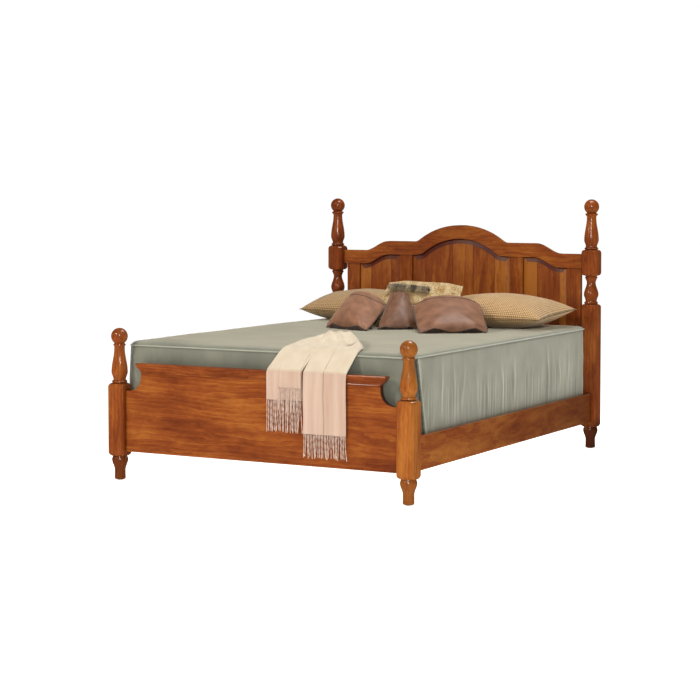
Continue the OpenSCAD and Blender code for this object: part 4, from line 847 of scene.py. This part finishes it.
# The way of the throw is in millimetres: where it hangs, the cap's top, the bed's edge and its top.
cap_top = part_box("footboard_cap")[1].z * 1000
clearance = 0.4
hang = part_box("footboard_cap")[0].y * 1000 - clearance
edge_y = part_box("mattress")[0].y * 1000
edge_z = 645
bed_z = bed_top * 1000


def way_of(x, width, hem, shift, rows):
    """Stations of one folded end, from its hem up over the footboard and back on to the bed. Each is its
    place, height, middle, width, thickness and depth of pleats; rows are those that lie on the bed."""
    stations = [[hang, hem, x, width, 4, 1], [hang, (hem * 2 + cap_top) / 3, x, width, 5, 1.5],
                [hang, (hem + cap_top * 2) / 3, x, width, 5, 1.5], [hang, cap_top - 3, x, width, 5, 1.5]]
    for t in (0.03, 0.25, 0.5, 0.75, 0.97):
        y, z = hang + 1 + (edge_y - 12 - hang - 1) * t, cap_top + 2 + (edge_z + 4 - cap_top - 2) * t
        stations.append([y, z, x + shift * 0.9 * t, width, 6, 2 + 2 * t])
    stations.append([edge_y + 6, bed_z - 3, x + shift, width, 9, 4])
    return stations + [[edge_y + a, bed_z + 1, x + b, width * c, d, e] for a, b, c, d, e in rows]


def curved(stations, count):
    """The stations as count smoother ones at even steps of the way."""
    rows = np.array(stations, float)
    run = np.concatenate([[0], np.cumsum(np.hypot(np.diff(rows[:, 0]), np.diff(rows[:, 1])))])
    fine = np.linspace(0, run[-1], count)
    out = np.array([np.interp(fine, run, column) for column in rows.T]).T
    for _ in range(3):
        out[1:-1] = (out[:-2] + 2 * out[1:-1] + out[2:]) / 4
    return out, fine


def scarf(name, stations, pleats, seed, count=150, start=-0.5, stop=0.5, lift=0.0, openings=()):
    """One layer of the throw over those stations, from start to stop of its width, with pleats running
    along it. lift raises it over the layer below, and openings are dips 12 by 30 mm, painted dark as shade."""
    line, run = curved(stations, count)
    bm = bmesh.new()
    cloth_uv = bm.loops.layers.uv.new("cloth")
    tone = bm.verts.layers.float_color.new("tone")
    bmesh.ops.create_grid(bm, x_segments=48, y_segments=count - 1, size=1)
    flat = {}
    for vert in bm.verts:
        s = start + (vert.co.x + 1) / 2 * (stop - start)
        j = min(count - 1, max(0, round((vert.co.y + 1) / 2 * (count - 1))))
        y, z, x, width, thick, pleat = line[j]
        one, two = line[max(0, j - 1)], line[min(count - 1, j + 1)]
        ahead = Vector((two[0] - one[0], two[1] - one[1])).normalized()
        on_bed = min(1, max(0, (y - edge_y) / 60))
        wander = 0.05 * on_bed * noise.noise(Vector((run[j] / 90, seed, 0)))
        edge = max(0, 1 - abs(2 * s) ** 7) ** 0.5
        wave = (1 - math.cos(2 * math.pi * pleats * (s + wander + 0.07 * seed))) / 2
        ruck = noise.noise(Vector((s * width / 34, run[j] / 70, seed * 3))) * (1 + 4 * on_bed)
        fine_ruck = noise.noise(Vector((s * width / 13, run[j] / 21, seed * 5))) * (0.25 + 1.1 * on_bed)
        height = lift + thick * (0.35 + 0.65 * edge) + (pleat * wave + ruck + fine_ruck) * edge
        open_by = sum(math.exp(-((x + s * width - a) / 12) ** 2 - ((y - b) / 30) ** 2) for a, b in openings)
        height = max(3.2 + lift, height * (1 - 0.45 * open_by))
        # Painted light and shade: red marks where the throw lies on the bed, painted lighter; green marks the
        # openings, painted dark.
        vert[tone] = (min(1, max(0, (z - cap_top + 4) / 12)), min(0.7, 1.1 * open_by), 0, 1)
        sway = 2.5 * noise.noise(Vector((run[j] / 120, seed, 5))) * (1 if j > 3 else 0.4)
        vert.co = Vector((x + s * width + sway, y - ahead.y * height, z + ahead.x * height)) / 1000
        flat[vert] = (s * width / 1000, run[j] / 1000)
    for face in bm.faces:
        for corner in face.loops:
            corner[cloth_uv].uv = flat[corner.vert]
    bmesh.ops.recalc_face_normals(bm, faces=bm.faces)
    if sum(face.normal.z for face in bm.faces) < 0:
        bmesh.ops.reverse_faces(bm, faces=bm.faces)
    layer = mesh_piece(name, bm, wool)
    wall = layer.modifiers.new("cloth", "SOLIDIFY")
    wall.thickness = cloth_thickness
    wall.offset = -1
    return layer


left_way = way_of(153, 186, 435, 36, [
    [30, 33, 1, 11, 5], [90, 18, 1, 13, 7], [170, 4, 0.98, 17, 9], [260, -4, 0.97, 22, 10],
    [350, -12, 0.96, 28, 8], [440, -28, 0.94, 34, 5], [520, -50, 0.88, 32, 3], [570, -66, 0.7, 16, 2],
    [585, -70, 0.5, 4, 1]])
right_way = way_of(365, 220, 288, 22, [
    [30, 18, 1, 13, 5], [90, -2, 0.99, 18, 8], [170, -46, 0.96, 26, 11], [260, -104, 0.92, 36, 12],
    [350, -165, 0.86, 47, 8], [440, -215, 0.74, 48, 4], [510, -250, 0.56, 28, 2], [540, -262, 0.38, 6, 1]])
layers = [scarf("throw_left_end", left_way, 2.4, 1),
          scarf("throw_right_end", right_way, 3.1, 2, openings=((60, -640), (398, -905))),
          scarf("throw_right_turn", right_way[:10], 1.2, 3, count=70, start=-0.5, stop=-0.02, lift=3.4),
          scarf("throw_left_layer", way_of(183, 118, 490, 20, [])[:9], 1.0, 4, count=60, lift=3.4)]


# A tassel is a lock of warp threads, twisted, knotted close under the hem and frayed at its tip.
def tassel_mesh(bm, top, length, seed):
    """Adds one tassel hanging from a point: two plies of 2 mm yarn that turn once in 63 mm."""
    dice = random.Random(seed)
    ply_radius, lay, steps = 0.0011, 0.010, 16
    sway_x, sway_y = dice.gauss(0, 0.004), dice.gauss(0, 0.0012)
    phase = dice.uniform(0, 6.28)
    for ply in range(2):
        made = []
        for step in range(steps + 1):
            t = step / steps
            knot = 1.5 * math.exp(-((t - 0.09) / 0.035) ** 2) + 1.3 * math.exp(-((t - 0.9) / 0.03) ** 2)
            turn = phase + ply * math.pi + t * length / lay
            wide = ply_radius * (1 + 0.35 * knot) * (0.55 if t > 0.97 else 1)
            apart = ply_radius * (1 + 0.3 * knot)
            centre = top + Vector((sway_x * t * t + apart * math.cos(turn),
                                   sway_y * t * t + apart * math.sin(turn) * 0.9, -length * t))
            made.append([bm.verts.new(centre + Vector((math.cos(a) * wide, math.sin(a) * wide, 0)))
                         for a in (0, 1.257, 2.513, 3.77, 5.027)])
        for one, two in zip(made, made[1:]):
            for a in range(5):
                b = (a + 1) % 5
                bm.faces.new((one[a], one[b], two[b], two[a]))
        bm.faces.new(made[0][::-1])
        bm.faces.new(made[-1])


yarn, shader = finish_of("cream_yarn", Roughness=0.9, Sheen_Weight=0.4)
place = add(yarn, "TexCoord").outputs["Object"]
strand = add(yarn, "Mapping", {"Vector": place, "Scale": (300, 300, 90)})
strand = add(yarn, "TexNoise", {"Vector": strand, "Scale": 1.0, "Detail": 3.0})
colour = add(yarn, "ValToRGB", {"Fac": strand}, stops=[(0.3, "#B7998A"), (0.7, "#E6D0BF")])
bump = add(yarn, "Bump", {"Height": strand, "Strength": 0.5, "Distance": 0.0006})
feed(shader, {"Base Color": colour, "Normal": bump})
bm = bmesh.new()
dice = random.Random(11)
for x, y, width, hem, length, count in ((153, hang - 3.2, 186, 435, 150, 23),
                                        (365, hang - 3.2, 220, 288, 112, 27),
                                        (183, hang - 10.6, 118, 490, 112, 15)):
    for i in range(count):
        top = Vector((x + (width - 8) * (i / (count - 1) - 0.5) + dice.gauss(0, 0.6), y, hem + 2)) / 1000
        tassel_mesh(bm, top, (length + dice.uniform(-9, 3)) / 1000, dice.random())
bmesh.ops.recalc_face_normals(bm, faces=bm.faces)
fringe = mesh_piece("throw_tassels", bm, yarn)
for piece in layers + [fringe]:
    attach(piece, "throw_body")
    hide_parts("throw_fringe" if piece == fringe else "throw")
